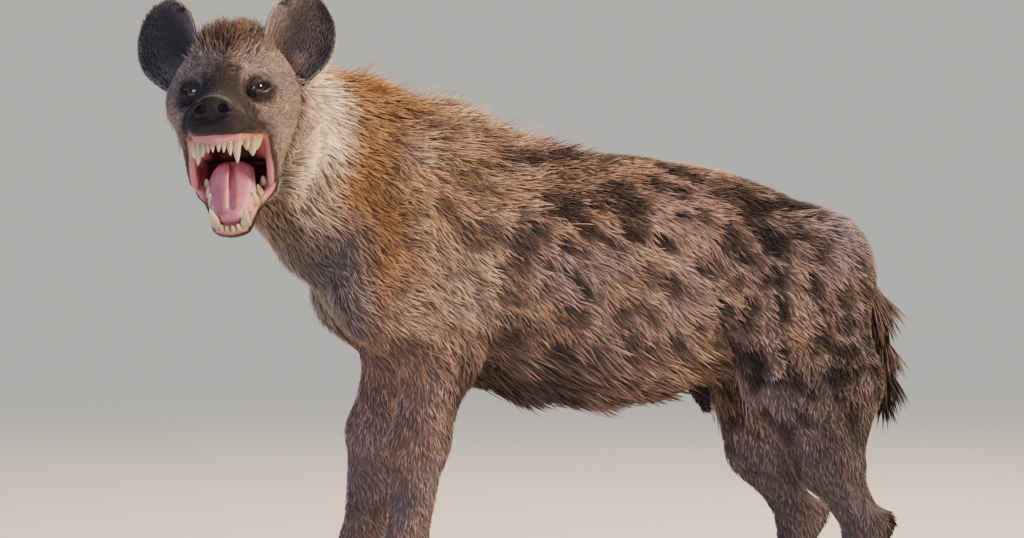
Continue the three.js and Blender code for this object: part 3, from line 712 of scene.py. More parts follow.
def cell_faces(inside: Array, number: Array) -> Array:
    """Spans a quad over the four cells round each edge of the grid that the surface crosses.

    Args:
        inside: whether each corner of the cells is inside.
        number: the number of each cell's point, or -1.

    Returns:
        The quads, with their fronts outwards.
    """
    size = number.shape
    quads = []
    for axis in range(3):
        u, v = (axis + 1) % 3, (axis + 2) % 3
        here = [slice(1, n) for n in size]
        there = [slice(1, n) for n in size]
        here[axis], there[axis] = slice(0, size[axis]), slice(1, size[axis] + 1)
        a, b = inside[tuple(here)], inside[tuple(there)]
        for flip in (False, True):
            spots = np.argwhere(~a & b if flip else a & ~b)
            base = spots + np.array([0 if k == axis else 1 for k in range(3)])
            ring = []
            for du, dv in ((0, 0), (1, 0), (1, 1), (0, 1)):
                cell = base.copy()
                cell[:, u] -= du
                cell[:, v] -= dv
                ring.append(number[tuple(cell.T)])
            quad = np.stack(ring, axis=1)
            quads.append(quad[:, ::-1] if flip else quad)
    faces = np.concatenate(quads)
    return faces[(faces >= 0).all(axis=1)]


def wrap(shape: Shape, lo: Point, hi: Point, cell: float, reach: float = 8.0) -> Surface:
    """Finds the zero surface of a field, with one point in each cell that it crosses.

    Args:
        shape: the field.
        lo: lowest corner of the box that is searched.
        hi: highest corner.
        cell: size of a cell.
        reach: how far the field may be off from a true distance.

    Returns:
        The surface, its points settled on the zero of the field.
    """
    low, high = np.array(lo, float), np.array(hi, float)
    grid = sampled(shape, low, high, cell, reach)
    number, places = crossed_cells(grid)
    faces = cell_faces(grid < 0, number)
    points = low + places * cell
    for _ in range(2):
        g = slope(shape, points)
        steep = np.maximum((g * g).sum(axis=1), 0.05)
        move = np.clip(shape(points) / steep, -0.6 * cell, 0.6 * cell)
        points = points - g * move[:, None]
    return Surface(points, faces, unit(slope(shape, points)))


def grid_quads(rows: int, columns: int, closed: bool, start: int = 0) -> Array:
    """Quads between rows of points, going round each row where closed.

    Args:
        rows: number of rows.
        columns: points in each row.
        closed: whether rows go round.
        start: number of the first point.

    Returns:
        The quads.
    """
    last = columns if closed else columns - 1
    r, c = np.meshgrid(np.arange(rows - 1), np.arange(last), indexing="ij")
    a, b = r * columns + c, r * columns + (c + 1) % columns
    return np.stack([a, b, b + columns, a + columns], axis=-1).reshape(-1, 4) + start


class Builder:
    """Turns arrays into objects of the scene that ride on the body."""

    def __init__(self) -> None:
        """Finds how far the animal's own axes lie from the frame's."""
        centre = (np.array(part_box("eye_left")).mean(axis=0) + np.array(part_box("eye_right")).mean(axis=0)) / 2
        middle = HEAD.world(np.array([[ANATOMY.eye[0], 0.0, ANATOMY.eye[2]]]))[0] / 1000.0
        self.shift = centre - middle

    def mesh(self, name: str, points: Array, faces: Sequence[Array], finish: Material, slot: str,
             smooth: bool = True) -> bpy.types.Object:
        """Makes one object.

        Args:
            name: its name.
            points: places in millimetres.
            faces: arrays of triangles or quads.
            finish: its material.
            slot: name of a material slot; not used.
            smooth: whether its faces are shaded smooth.

        Returns:
            The object, riding on the body.
        """
        me = bpy.data.meshes.new(name)
        faces = [f for f in faces if len(f)]
        sizes = np.concatenate([np.full(len(f), f.shape[1]) for f in faces])
        loops = np.concatenate([f.reshape(-1) for f in faces]).astype(np.int32)
        me.vertices.add(len(points))
        me.vertices.foreach_set("co", (points / 1000.0 + self.shift).astype(np.float32).ravel())
        me.loops.add(len(loops))
        me.loops.foreach_set("vertex_index", loops)
        me.polygons.add(len(sizes))
        me.polygons.foreach_set("loop_start", np.concatenate([[0], np.cumsum(sizes)[:-1]]).astype(np.int32))
        me.polygons.foreach_set("use_smooth", np.full(len(sizes), smooth))
        me.update(calc_edges=True)
        me.validate()
        me.materials.append(finish)
        obj = bpy.data.objects.new(name, me)
        bpy.context.scene.collection.objects.link(obj)
        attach(obj, "root")
        LOG.info("%s: %d faces", name, len(me.polygons))
        return obj

    @staticmethod
    def paint(obj: bpy.types.Object, name: str, values: Array) -> None:
        """Stores four values at each point under a name, or one value four times.

        Args:
            obj: the object.
            name: name of the values.
            values: the values.
        """
        if values.ndim == 1:
            values = np.stack([values] * 4, axis=1)
        layer = obj.data.attributes.new(name, "FLOAT_COLOR", "POINT")
        layer.data.foreach_set("color", values.astype(np.float32).ravel())


@dataclass
class Pelt:
    """Colours, depth, lie and length of the coat all over the body."""

    noise: Noise = field(default_factory=lambda: Noise(11))
    rough: Noise = field(default_factory=lambda: Noise(29))
    sheath: tuple = (271.0, -12.0, 367.0)
    body_depth: float = 8.5
    leg_depth: float = 5.5
    face_depth: float = 3.4
    streak: tuple = (3.0, 1.0, 1.0)
    spot_cell: tuple = (42.0, 38.0, 33.0)
    spot_shape: tuple = (0.8, 0.75, 1.0)
    spot_jitter: float = 0.44
    spot_radius: float = 13.2
    spot_spread: float = 5.9
    hair_length: float = 24.0
    hair_width: float = 2.0
    hair_cover: float = 3.1
    leg_length: float = 15.0
    leg_width: float = 3.0
    face_length: float = 11.5
    face_cover: float = 2.6

    def depth(self, p: Array) -> Array:
        """How far the skin lies under the tips of the short coat.

        Args:
            p: places.

        Returns:
            One value for each.
        """
        q, j = HEAD.local(p), JAW.local(p)
        deep = self.body_depth + 3.5 * ramp(-60, -160, p[:, 0]) * ramp(480, 560, p[:, 2])
        leg = ramp(470, 330, p[:, 2])
        deep = toward(deep, self.leg_depth - 2.2 * ramp(240, 90, p[:, 2]), leg)
        head = self.on_head(p)
        face = self.face_depth - 1.6 * ramp(40, 110, np.maximum(q[:, 0], j[:, 0]))
        return toward(deep, face, head)

    def on_head(self, p: Array) -> Array:
        """One on the head, falling to zero over the nape.

        Args:
            p: places.

        Returns:
            One value for each.
        """
        q, j = HEAD.local(p), JAW.local(p)
        near = span(q - np.array([40.0, 0.0, 10.0]))
        return ramp(-66, -24, np.maximum(q[:, 0], j[:, 0])) * ramp(-74, -44, q[:, 0]) * ramp(260, 200, near)

    @staticmethod
    def turned(p: Array) -> Array:
        """Places in axes whose first runs along the lie of the flank's hair."""
        x, y, z = p.T
        return np.stack([0.86 * x - 0.5 * z, y, 0.5 * x + 0.86 * z], axis=1)

    def streaks(self, p: Array, size: float) -> Array:
        """Noise drawn out along the lie of the flank's hair."""
        return self.rough.at(self.turned(p) / np.array(self.streak), size)

    def spots(self, p: Array) -> Array:
        """Brown spots: one jittered blotch in most cells of a lattice.

        Args:
            p: places.

        Returns:
            One value for each.
        """
        warp = np.stack([self.noise.at(p + 100 * k, 26.0) for k in range(3)], axis=1) * 11.0
        warp += np.stack([self.rough.at(p + 70 * k, 10.0) for k in range(3)], axis=1) * 5.5
        cell_size = np.array(self.spot_cell)
        q = self.turned(p + warp) / cell_size
        base = np.floor(q).astype(np.int64)
        best = np.full(len(p), 9.0)
        larger = 0.3 * ramp(600, 690, p[:, 2]) * ramp(-60, 40, p[:, 0]) + 0.12 * ramp(250, 330, p[:, 0])
        for step in np.ndindex(3, 3, 3):
            cell = base + np.array(step) - 1
            key = ((cell[:, 0] * 92837111) ^ (cell[:, 1] * 689287499) ^ (cell[:, 2] * 283923481)) & 4095
            jitter = np.stack([self.noise.table[(key + 57 * k) & 4095] for k in range(3)], axis=1)
            away = (q - cell - 0.5 - self.spot_jitter * jitter) * cell_size * np.array(self.spot_shape)
            radius = (self.spot_radius + self.spot_spread * self.rough.table[key]) * (0.98 + larger)
            best = np.minimum(best, span(away) / np.maximum(radius, 4.0))
        return ramp(1.2, 0.8, best)

    def marks(self, p: Array, n: Array) -> Array:
        """Spot, warm, dark and pale shares of the coat's colour at points p.

        Args:
            p: places on the skin.
            n: normals there.

        Returns:
            Four values for each point.
        """
        head = self.on_head(p)
        spot, warm, dark, pale = self.body_marks(p, n, head)
        warm_face, dark_face, pale_face, ruff = self.face_marks(p)
        dark = toward(dark, dark_face, head)
        warm = toward(warm, warm_face, head)
        pale = toward(pale, pale_face * ramp(0.9, 0.4, dark_face), head) + ruff
        warm = warm * (1 - 0.75 * ruff)
        dark = dark * (1 - 0.85 * ruff)
        return np.clip(np.stack([spot, warm, dark, pale], axis=1), 0.0, 1.0)

    def body_marks(self, p: Array, n: Array, head: Array) -> tuple[Array, Array, Array, Array]:
        """Marks of the trunk, the legs and the tail.

        Args:
            p: places on the skin.
            n: normals there.
            head: one on the head.

        Returns:
            Spot, warm, dark and pale shares.
        """
        x, y, z = p.T
        wide, fine = self.noise.at(p, 90.0), self.rough.at(p, 14.0)
        brindle = self.streaks(p, 11.0)
        # Spots of the flanks, thighs and back.
        trunk = ramp(-250, -140, x + 24 * wide) * ramp(190, 400, z) * (1 - head)
        under = ramp(430, 470, z + 20 * fine) + ramp(270, 330, x)
        spot = self.spots(p) * trunk * np.clip(under, 0, 1) * (0.95 + 0.2 * wide)
        spot *= (1 - 0.45 * ramp(60, -160, x)) * (1 - 0.38 * ramp(0.1, 0.8, brindle))
        mantle = ramp(640, 700, z + 26 * wide) * ramp(-60, 60, x) * ramp(0.1, 0.7, n[:, 2])
        spot = np.maximum(spot, 0.4 * mantle * ramp(-0.25, 0.4, wide + 0.4 * fine))
        # Tan on the flank, gold on the neck, grey on the legs.
        warm = 0.3 + 0.16 * wide + 0.2 * self.noise.at(p + 300.0, 42.0)
        warm += 0.14 * ramp(60, -120, x) + 0.62 * ramp(10, -220, x) * ramp(520, 700, z)
        warm += 0.16 * ramp(120, -60, x) * ramp(520, 640, z) - 0.16 * ramp(150, 420, x)
        warm += 0.2 * ramp(480, 430, z) * ramp(60, 150, x) * ramp(330, 280, x)
        leg = ramp(540, 250, z)
        warm *= 1 - 0.7 * leg
        # Legs, rump, neck and belly are darker, and so are streaks, the tail and the sheath; behind the elbows
        # the coat gets painted shade.
        dark = 0.26 * leg + 0.3 * ramp(200, 60, z) + 0.4 * ramp(580, 420, z) * ramp(290, 380, x)
        dark += 0.26 * ramp(180, 400, x) * ramp(480, 600, z) * (0.8 + 0.8 * wide)
        dark += 0.23 * ramp(-120, -220, x) * ramp(560, 660, z) * (0.8 + 0.9 * fine)
        dark += 0.4 * ramp(510, 430, z) * ramp(20, 90, x) * ramp(330, 280, x) * (0.8 + 0.8 * fine)
        dark += 0.24 * ramp(0.05, 0.75, -brindle) * trunk
        dark += 0.34 * ramp(492, 508, x) * ramp(60, 40, np.abs(y))
        dark += 0.8 * ramp(500, 525, x) * ramp(470, 420, z)
        # Painted shade behind the elbows, under the chest between the forelegs and the belly.
        dark += 0.75 * ramp(480, 420, z + 16 * fine) * ramp(-130, -90, x) * ramp(110, 20, x)
        dark += 0.95 * ramp(64, 40, span(p - self.sheath)) * ramp(412, 392, z)
        dark += 0.3 * leg * np.clip(wide + 0.8 * fine, -0.5, 1.0)
        # The chest front gets painted shade, grey and darker with no warmth, the croup's upward faces get a
        # painted highlight, and the shoulder, throat and parted locks are paler.
        # Painted shade on the front of the chest: it is made greyer and darker and loses its warmth.
        front = ramp(-205, -262, x) * ramp(690, 600, z) * ramp(300, 400, z)
        pale = 0.2 * front + 0.12 * wide + 0.13 * ramp(0.1, 0.8, brindle) * trunk
        pale += 0.2 * ramp(-210, -150, x) * ramp(40, -60, x) * ramp(450, 520, z)
        # Painted highlight: the upward faces of the croup are paler.
        pale += 0.12 * ramp(0.2, 0.9, n[:, 2]) * ramp(300, 420, x)
        # The painted shade of the chest front, darker and not warm.
        dark += 0.36 * front
        warm *= 1 - 0.9 * front
        throat = ramp(-250, -300, x) * ramp(780, 700, z)
        warm *= 1 - 0.5 * throat
        pale += 0.16 * throat
        return spot, warm, dark, pale

    def face_marks(self, p: Array) -> tuple[Array, Array, Array, Array]:
        """Marks of the head: dark muzzle, lips, chin, brow stripe and rings round the eyes.

        Args:
            p: places on the skin.

        Returns:
            Warm, dark and pale shares, and the share of the ruff.
        """
        q, j = HEAD.local(p), JAW.local(p)
        f, s, u = q[:, 0], np.abs(q[:, 1]), q[:, 2]
        wide, fine = self.noise.at(p, 90.0), self.rough.at(p, 14.0)
        band = np.abs(f + 78 + 0.1 * u) / 38
        ruff = np.exp(-band ** 2) * ramp(40, 70, s) * ramp(96, 60, u)
        ruff *= 0.4 + 0.6 * ramp(-84, -40, u)
        eye = np.sqrt((f - 56) ** 2 + (s - 41) ** 2 + (1.15 * (u - 37)) ** 2)
        muzzle = ramp(78, 112, f) * ramp(-36, -6, u)
        bridge = ramp(50, 78, f) * ramp(34, 18, s) * ramp(0, 20, u)
        stripe = ramp(16, 5, s) * ramp(48, 66, u) * ramp(112, 84, u)
        lips = ramp(2, -14, u) * ramp(50, 90, f) * ramp(-44, -26, u)
        chin = ramp(50, 100, j[:, 0]) * ramp(20, -20, u) * ramp(-74, -60, j[:, 2])
        cheek = ramp(34, 62, s) * ramp(44, 10, u) * ramp(70, 30, f)
        crown = ramp(84, 112, u)
        dark = 0.3 + 0.66 * ramp(36, 17, eye) + 0.62 * muzzle + 0.5 * bridge + 0.3 * stripe + 0.5 * lips
        dark += 0.5 * crown + 0.75 * chin + 0.1 * wide + 0.28 * fine
        dark += 0.24 * self.rough.at(p, 4.0) - 0.06 * cheek
        warm = 0.1 + 0.55 * crown + 0.16 * fine + 0.12 * cheek
        pale = 0.12 + 0.12 * cheek + 0.3 * ramp(-60, -84, j[:, 2]) * ramp(120, 60, j[:, 0]) + 0.16 * fine
        pale += 0.16 * ramp(50, 78, u) * ramp(100, 84, u)
        return warm, dark, pale, ruff

    def lie(self, p: Array, n: Array) -> Array:
        """The way the hair points along the skin.

        Args:
            p: places.
            n: normals there.

        Returns:
            The directions.
        """
        x, y, z = p.T
        q, j = HEAD.local(p), JAW.local(p)
        one, none = np.ones(len(p)), np.zeros(len(p))
        body = np.stack([0.95 * one, none, -0.5 - 0.35 * ramp(720, 560, z)], axis=1)
        low = np.stack([0.22 * one, none, -one], axis=1)
        barrel = ramp(-90, -40, x) * ramp(300, 250, x) * ramp(330, 350, z)
        leg = ramp(520, 400, z)[:, None] * (1 - barrel[:, None])
        way = toward(body, low, leg)
        foot = ramp(95, 40, z)[:, None]
        way = toward(way, np.array([-0.8, 0.0, -0.5]), foot)
        neck = (ramp(-150, -250, x) * ramp(520, 600, z))[:, None]
        way = toward(way, np.array([0.85, 0.3, -0.62]), neck)
        tail = (ramp(470, 510, x) * ramp(575, 545, z) * ramp(60, 40, np.abs(y)))[:, None]
        way = toward(way, np.array([0.12, 0.0, -1.0]), tail)
        sweep = -0.25 - 0.5 * ramp(20, -40, q[:, 2]) + 0.7 * ramp(70, 110, q[:, 2])
        away = np.stack([-one, 0.35 * np.sign(q[:, 1]), sweep], axis=1)
        under = np.stack([-one, 0.2 * np.sign(q[:, 1]), -0.2 * one], axis=1)
        jaw = ramp(-34, -52, j[:, 2])[:, None] * ramp(30, -10, q[:, 2])[:, None]
        face = toward(HEAD.way(away), JAW.way(under), jaw)
        head = self.on_head(p)[:, None]
        way = toward(unit(way), unit(face), head)
        swirl = 0.42 * self.noise.at(p, 34.0) + 0.3 * self.rough.at(p, 11.0)
        way = flattened(way, n)
        return unit(way * np.cos(swirl)[:, None] + np.cross(n, way) * np.sin(swirl)[:, None])

    def region(self, p: Array) -> Array:
        """The number of the region that each point belongs to.

        Args:
            p: places.

        Returns:
            The numbers.
        """
        x, y, z = p.T
        found = np.full(len(p), Region.FLANK.value)
        found[x > 290] = Region.RUMP.value
        found[(z < 440) & (x > -80) & (x < 290)] = Region.BELLY.value
        found[(z < 455) & (x <= -80)] = Region.FORELEG.value
        found[(z < 455) & (x > 290)] = Region.HINDLEG.value
        found[(x < -215) & (z > 455)] = Region.NECK.value
        found[(x > 485) & (np.abs(y) < 42) & (z > 250)] = Region.TAIL.value
        found[self.on_head(p) > 0.3] = Region.FACE.value
        return found

    def size(self, p: Array, n: Array) -> tuple[Array, Array, Array]:
        """Length and width of the tufts, and the share of the skin that grows them.

        Args:
            p: places.
            n: normals there.

        Returns:
            Length, width and share.
        """
        x, y, z = p.T
        q, j = HEAD.local(p), JAW.local(p)
        length, width = np.full(len(p), self.hair_length), np.full(len(p), self.hair_width)
        cover = np.full(len(p), self.hair_cover)
        neck = ramp(-140, -240, x) * ramp(500, 600, z)
        length += 9 * neck
        belly = ramp(470, 400, z) * ramp(-60, -20, x) * ramp(310, 270, x)
        length += 24 * belly
        width += 0.8 * belly
        length *= 1 - 0.8 * ramp(70, 50, span(p - self.sheath))
        leg = np.maximum(ramp(520, 290, z), ramp(640, 400, z) * ramp(270, 330, x)) * (1 - belly)
        length = toward(length, self.leg_length - 7 * ramp(260, 60, z), leg)
        width = toward(width, self.leg_width - 0.9 * ramp(200, 50, z), leg)
        cover = cover - 1.15 * leg
        tail = ramp(500, 516, x) * ramp(60, 40, np.abs(y)) * ramp(560, 500, z)
        length, width = length + 34 * tail * ramp(520, 430, z), width + 1.2 * tail
        head = self.on_head(p)
        f = np.maximum(q[:, 0], j[:, 0])
        long = self.face_length - 5.0 * ramp(-20, 30, f) - 3.2 * ramp(50, 120, f)
        eye = np.minimum(*[span(q - np.array([50, 40 * s, 41])) for s in (-1, 1)])
        long *= 1 - 0.45 * ramp(34, 18, eye)
        thin = 1.15 + 0.13 * long
        length, width = toward(length, long, head), toward(width, thin, head)
        cover = toward(cover, self.face_cover, head)
        return length, width, cover


def feed(tree: Tree, target: Node, values: dict) -> None:
    """Links inputs of a node to sockets, and sets those that are given a plain value.

    Args:
        tree: the tree.
        target: the node.
        values: value or socket of each input.
    """
    for key, value in values.items():
        if isinstance(value, Socket):
            tree.links.new(value, target.inputs[key])
        else:
            target.inputs[key].default_value = value


def node(tree: Tree, kind: str, values: dict | None = None, **settings: object) -> Node:
    """Adds a node with its settings and the values of its inputs.

    Args:
        tree: where it goes.
        kind: its type.
        values: value or socket of each input.
        settings: value of each setting.

    Returns:
        The node.
    """
    made = tree.nodes.new(kind)
    for key, value in settings.items():
        setattr(made, key, value)
    feed(tree, made, values or {})
    return made


def mixed(tree: Tree, share: object, a: object, b: object, how: str = "MIX") -> Socket:
    """Mixes two colours by a share."""
    return node(tree, "ShaderNodeMix", {0: share, 6: a, 7: b}, data_type="RGBA", blend_type=how).outputs[2]


def maths(tree: Tree, how: str, *values: object) -> Socket:
    """Works out one step of arithmetic."""
    return node(tree, "ShaderNodeMath", dict(enumerate(values)), operation=how).outputs[0]


def painted(tree: Tree, name: str) -> list[Socket]:
    """The four values that are stored on a mesh under a name.

    Args:
        tree: the tree.
        name: name of the values.

    Returns:
        Four sockets.
    """
    stored = node(tree, "ShaderNodeAttribute", attribute_name=name)
    split = node(tree, "ShaderNodeSeparateColor", {0: stored.outputs["Color"]})
    return [split.outputs[0], split.outputs[1], split.outputs[2], stored.outputs["Alpha"]]


def bumped(tree: Tree, height: Socket, strength: float, distance: float) -> Socket:
    """A normal that is tilted by a height."""
    values = {"Height": height, "Strength": strength, "Distance": distance}
    return node(tree, "ShaderNodeBump", values).outputs[0]


def colour(text: str) -> tuple[float, float, float, float]:
    """A colour written as six hexadecimal digits, in linear light."""
    parts = [int(text[i:i + 2], 16) / 255 for i in (0, 2, 4)]
    return tuple(v / 12.92 if v <= 0.04045 else ((v + 0.055) / 1.055) ** 2.4 for v in parts) + (1.0,)


@dataclass
class Effects:
    """Node groups that several materials share, with the colours of the hair."""

    cool: str = "8a7b85"
    tan: str = "ad8878"
    gold: str = "a97b4c"
    cream: str = "f3e5d3"
    smoke: str = "2b2125"
    spot: str = "1e1214"
    tan_at: float = 0.36

    def __post_init__(self) -> None:
        """Builds each group once."""
        self.tint = self.make_tint()
        self.grain = self.make_grain()

    @staticmethod
    def group(name: str, inputs: dict[str, float], outputs: dict[str, str]) -> tuple[Tree, Node, Node]:
        """Starts a node group with named sockets.

        Args:
            name: its name.
            inputs: value of each input.
            outputs: kind of each output.

        Returns:
            The group, its input node and its output node.
        """
        tree = bpy.data.node_groups.new(name, "ShaderNodeTree")
        for label, value in inputs.items():
            socket = tree.interface.new_socket(name=label, in_out="INPUT", socket_type="NodeSocketFloat")
            socket.default_value = value
        for label, kind in outputs.items():
            tree.interface.new_socket(name=label, in_out="OUTPUT", socket_type=f"NodeSocket{kind}")
        return tree, tree.nodes.new("NodeGroupInput"), tree.nodes.new("NodeGroupOutput")

    def make_tint(self) -> Tree:
        """The coat's colour from its marks, with hair-fine variation, painted shade at the roots of the hair and
        painted highlight at its tips.

        Returns:
            The group.
        """
        tree, given, out = self.group(
            "Coat tint", {"Spot": 0.0, "Warm": 0.5, "Dark": 0.0, "Pale": 0.0, "Tone": 0.5, "Tip": 0.5},
            {"Colour": "Color", "Roughness": "Float"},
        )
        place = node(tree, "ShaderNodeTexCoord").outputs["Object"]
        fine = node(tree, "ShaderNodeTexNoise", {"Vector": place, "Scale": 260.0, "Detail": 3.0}).outputs[0]
        broad = node(tree, "ShaderNodeTexNoise", {"Vector": place, "Scale": 22.0, "Detail": 4.0}).outputs[0]
        hue = node(tree, "ShaderNodeValToRGB", {0: given.outputs["Warm"]})
        stops = hue.color_ramp.elements
        stops[0].color, stops[1].color = colour(self.cool), colour(self.gold)
        stops.new(self.tan_at).color = colour(self.tan)
        base = mixed(tree, given.outputs["Pale"], hue.outputs[0], colour(self.cream))
        base = mixed(tree, given.outputs["Dark"], base, colour(self.smoke))
        base = mixed(tree, maths(tree, "MULTIPLY", given.outputs["Spot"], 0.96), base, colour(self.spot))
        # Painted shade and highlight: each tuft is darker at its root, deep in the coat, and lighter at its tip;
        # the skin under the coat gets a fixed Tip near the root, so it is darker too.
        light = maths(tree, "MULTIPLY_ADD", given.outputs["Tip"], 1.15, 0.34)
        tone = maths(tree, "MULTIPLY_ADD", given.outputs["Tone"], 1.0, 0.52)
        grain = maths(tree, "MULTIPLY_ADD", fine, 0.5, 0.75)
        patch = maths(tree, "MULTIPLY_ADD", broad, 0.5, 0.75)
        hair, cloud = maths(tree, "MULTIPLY", light, tone), maths(tree, "MULTIPLY", grain, patch)
        value = maths(tree, "MULTIPLY", hair, cloud)
        shade = node(tree, "ShaderNodeCombineColor", {0: value, 1: value, 2: value}).outputs[0]
        feed(tree, out, {
            "Colour": mixed(tree, 1.0, base, shade, "MULTIPLY"),
            "Roughness": maths(tree, "MULTIPLY_ADD", fine, 0.2, 0.55),
        })
        return tree

    def make_grain(self) -> Tree:
        """Height of small cells and wrinkles on bare or wet skin.

        Returns:
            The group.
        """
        tree, given, out = self.group(
            "Skin grain", {"Cells": 420.0, "Wrinkle": 60.0}, {"Height": "Float", "Mask": "Float"},
        )
        place = node(tree, "ShaderNodeTexCoord").outputs["Object"]
        cells = node(tree, "ShaderNodeTexVoronoi", {"Vector": place, "Scale": given.outputs["Cells"]})
        folds = node(tree, "ShaderNodeTexNoise", {
            "Vector": place, "Scale": given.outputs["Wrinkle"], "Detail": 6.0, "Roughness": 0.65,
        }).outputs[0]
        feed(tree, out, {"Height": maths(tree, "ADD", cells.outputs[0], folds), "Mask": folds})
        return tree

    def tinted(self, tree: Tree, tone: object, tip: object) -> Node:
        """Places the coat's tint with the marks that are stored on the mesh."""
        values = dict(zip(("Spot", "Warm", "Dark", "Pale"), painted(tree, "marks")))
        return node(tree, "ShaderNodeGroup", {**values, "Tone": tone, "Tip": tip}, node_tree=self.tint)

    def grained(self, tree: Tree, cells: float, wrinkle: float) -> Node:
        """Places the skin's grain with its own scales."""
        return node(tree, "ShaderNodeGroup", {"Cells": cells, "Wrinkle": wrinkle}, node_tree=self.grain)


def material(name: str) -> tuple[Material, Tree, Node]:
    """Starts a material and gives it, its nodes and its shader.

    Args:
        name: its name.

    Returns:
        The material, its tree and its shader.
    """
    made = bpy.data.materials.new(name)
    made.use_nodes = True
    return made, made.node_tree, made.node_tree.nodes["Principled BSDF"]


@dataclass(frozen=True)
class CoatFinish:
    """Hair of the coat, coloured by the marks stored on each tuft."""

    name: str = "coat hair"
    shine: float = 0.28
    sheen: float = 0.12
    sheen_rough: float = 0.4

    def build(self, effects: Effects) -> Material:
        """Makes the material.

        Args:
            effects: the shared groups.

        Returns:
            The material.
        """
        made, tree, shader = material(self.name)
        tone, tip, _, _ = painted(tree, "lock")
        tint = effects.tinted(tree, tone, tip)
        feed(tree, shader, {
            "Base Color": tint.outputs["Colour"], "Roughness": tint.outputs["Roughness"],
            "Specular IOR Level": self.shine, "Sheen Weight": self.sheen, "Sheen Roughness": self.sheen_rough,
        })
        return made


@dataclass(frozen=True)
class HideFinish:
    """Skin under the coat, with bare lips and the lining of the mouth, which gets painted shade deep in the
    throat.
    """

    name: str = "hide"
    tone: float = 0.4
    tip: float = 0.15
    lining: tuple = ("b0606a", "dd9a98")
    # Colour of the painted shade deep in the throat.
    gullet: str = "551f23"
    lip: tuple = ("120e10", "2e2628")
    dry: float = 0.82
    wet: float = 0.34

    def build(self, effects: Effects) -> Material:
        """Makes the material.

        Args:
            effects: the shared groups.

        Returns:
            The material.
        """
        made, tree, shader = material(self.name)
        inner, lips, deep, _ = painted(tree, "bare")
        tint = effects.tinted(tree, self.tone, self.tip)
        grain = effects.grained(tree, 380.0, 75.0)
        lining = mixed(tree, grain.outputs["Mask"], *[colour(c) for c in self.lining])
        lip = mixed(tree, grain.outputs["Mask"], *[colour(c) for c in self.lip])
        # Painted shade: the lining turns dark towards the throat.
        mouth = mixed(tree, deep, lining, colour(self.gullet))
        skin = mixed(tree, inner, tint.outputs["Colour"], mouth)
        wet = maths(tree, "MAXIMUM", inner, lips)
        feed(tree, shader, {
            "Base Color": mixed(tree, lips, skin, lip),
            "Roughness": maths(tree, "MULTIPLY_ADD", wet, self.wet - self.dry, self.dry),
            "Normal": bumped(tree, grain.outputs["Height"], 0.4, 0.0008),
            "Specular IOR Level": 0.35,
        })
        return made


@dataclass(frozen=True)
class SkinFinish:
    """Bare skin such as the nose, the tongue or the inside of an ear."""

    name: str
    low: str
    high: str
    rough: float
    cells: float
    wrinkle: float
    bump: float
    behind: str = ""

    def build(self, effects: Effects) -> Material:
        """Makes the material.

        Args:
            effects: the shared groups.

        Returns:
            The material.
        """
        made, tree, shader = material(self.name)
        grain = effects.grained(tree, self.cells, self.wrinkle)
        base = mixed(tree, grain.outputs["Mask"], colour(self.low), colour(self.high))
        if self.behind:
            base = mixed(tree, painted(tree, "lock")[3], base, colour(self.behind))
        feed(tree, shader, {
            "Base Color": base,
            "Roughness": maths(tree, "MULTIPLY_ADD", grain.outputs["Mask"], 0.25, self.rough - 0.12),
            "Normal": bumped(tree, grain.outputs["Height"], self.bump, 0.001),
        })
        return made


@dataclass(frozen=True)
class HornFinish:
    """Teeth and claws: one colour at the root and another at the tip."""

    name: str
    root: str
    tip: str
    rough: float
    stain: float = 0.35

    def build(self, effects: Effects) -> Material:
        """Makes the material.

        Args:
            effects: the shared groups.

        Returns:
            The material.
        """
        made, tree, shader = material(self.name)
        mask = effects.grained(tree, 240.0, 150.0).outputs["Mask"]
        base = mixed(tree, painted(tree, "lock")[1], colour(self.root), colour(self.tip))
        stain = maths(tree, "MULTIPLY", mask, self.stain)
        feed(tree, shader, {
            "Base Color": mixed(tree, stain, base, colour(self.root)),
            "Roughness": maths(tree, "MULTIPLY_ADD", mask, 0.2, self.rough - 0.1),
            "Normal": bumped(tree, mask, 0.15, 0.0006),
        })
        return made


@dataclass(frozen=True)
class EyeFinish:
    """A dark brown eye with its pupil, coloured by the angle from its gaze."""

    name: str = "eye"
    fleck: str = "1a0f0a"
    rings: tuple = (
        (0.0, "050405"), (0.30, "050405"), (0.36, "3b2415"),
        (0.62, "2a180e"), (0.72, "0c0807"), (1.0, "3a2c28"),
    )

    def build(self, effects: Effects) -> Material:
        """Makes the material.

        Args:
            effects: the shared groups.

        Returns:
            The material.
        """
        made, tree, shader = material(self.name)
        grain = effects.grained(tree, 900.0, 500.0)
        band = node(tree, "ShaderNodeValToRGB", {0: painted(tree, "lock")[1]})
        stops = band.color_ramp.elements
        while len(stops) < len(self.rings):
            stops.new(0.5)
        for stop, (at, tint) in zip(stops, self.rings):
            stop.position, stop.color = at, colour(tint)
        fleck = maths(tree, "MULTIPLY", grain.outputs["Mask"], 0.4)
        feed(tree, shader, {
            "Base Color": mixed(tree, fleck, band.outputs[0], colour(self.fleck)),
            "Roughness": 0.06, "Coat Weight": 1.0, "Coat Roughness": 0.02,
        })
        return made


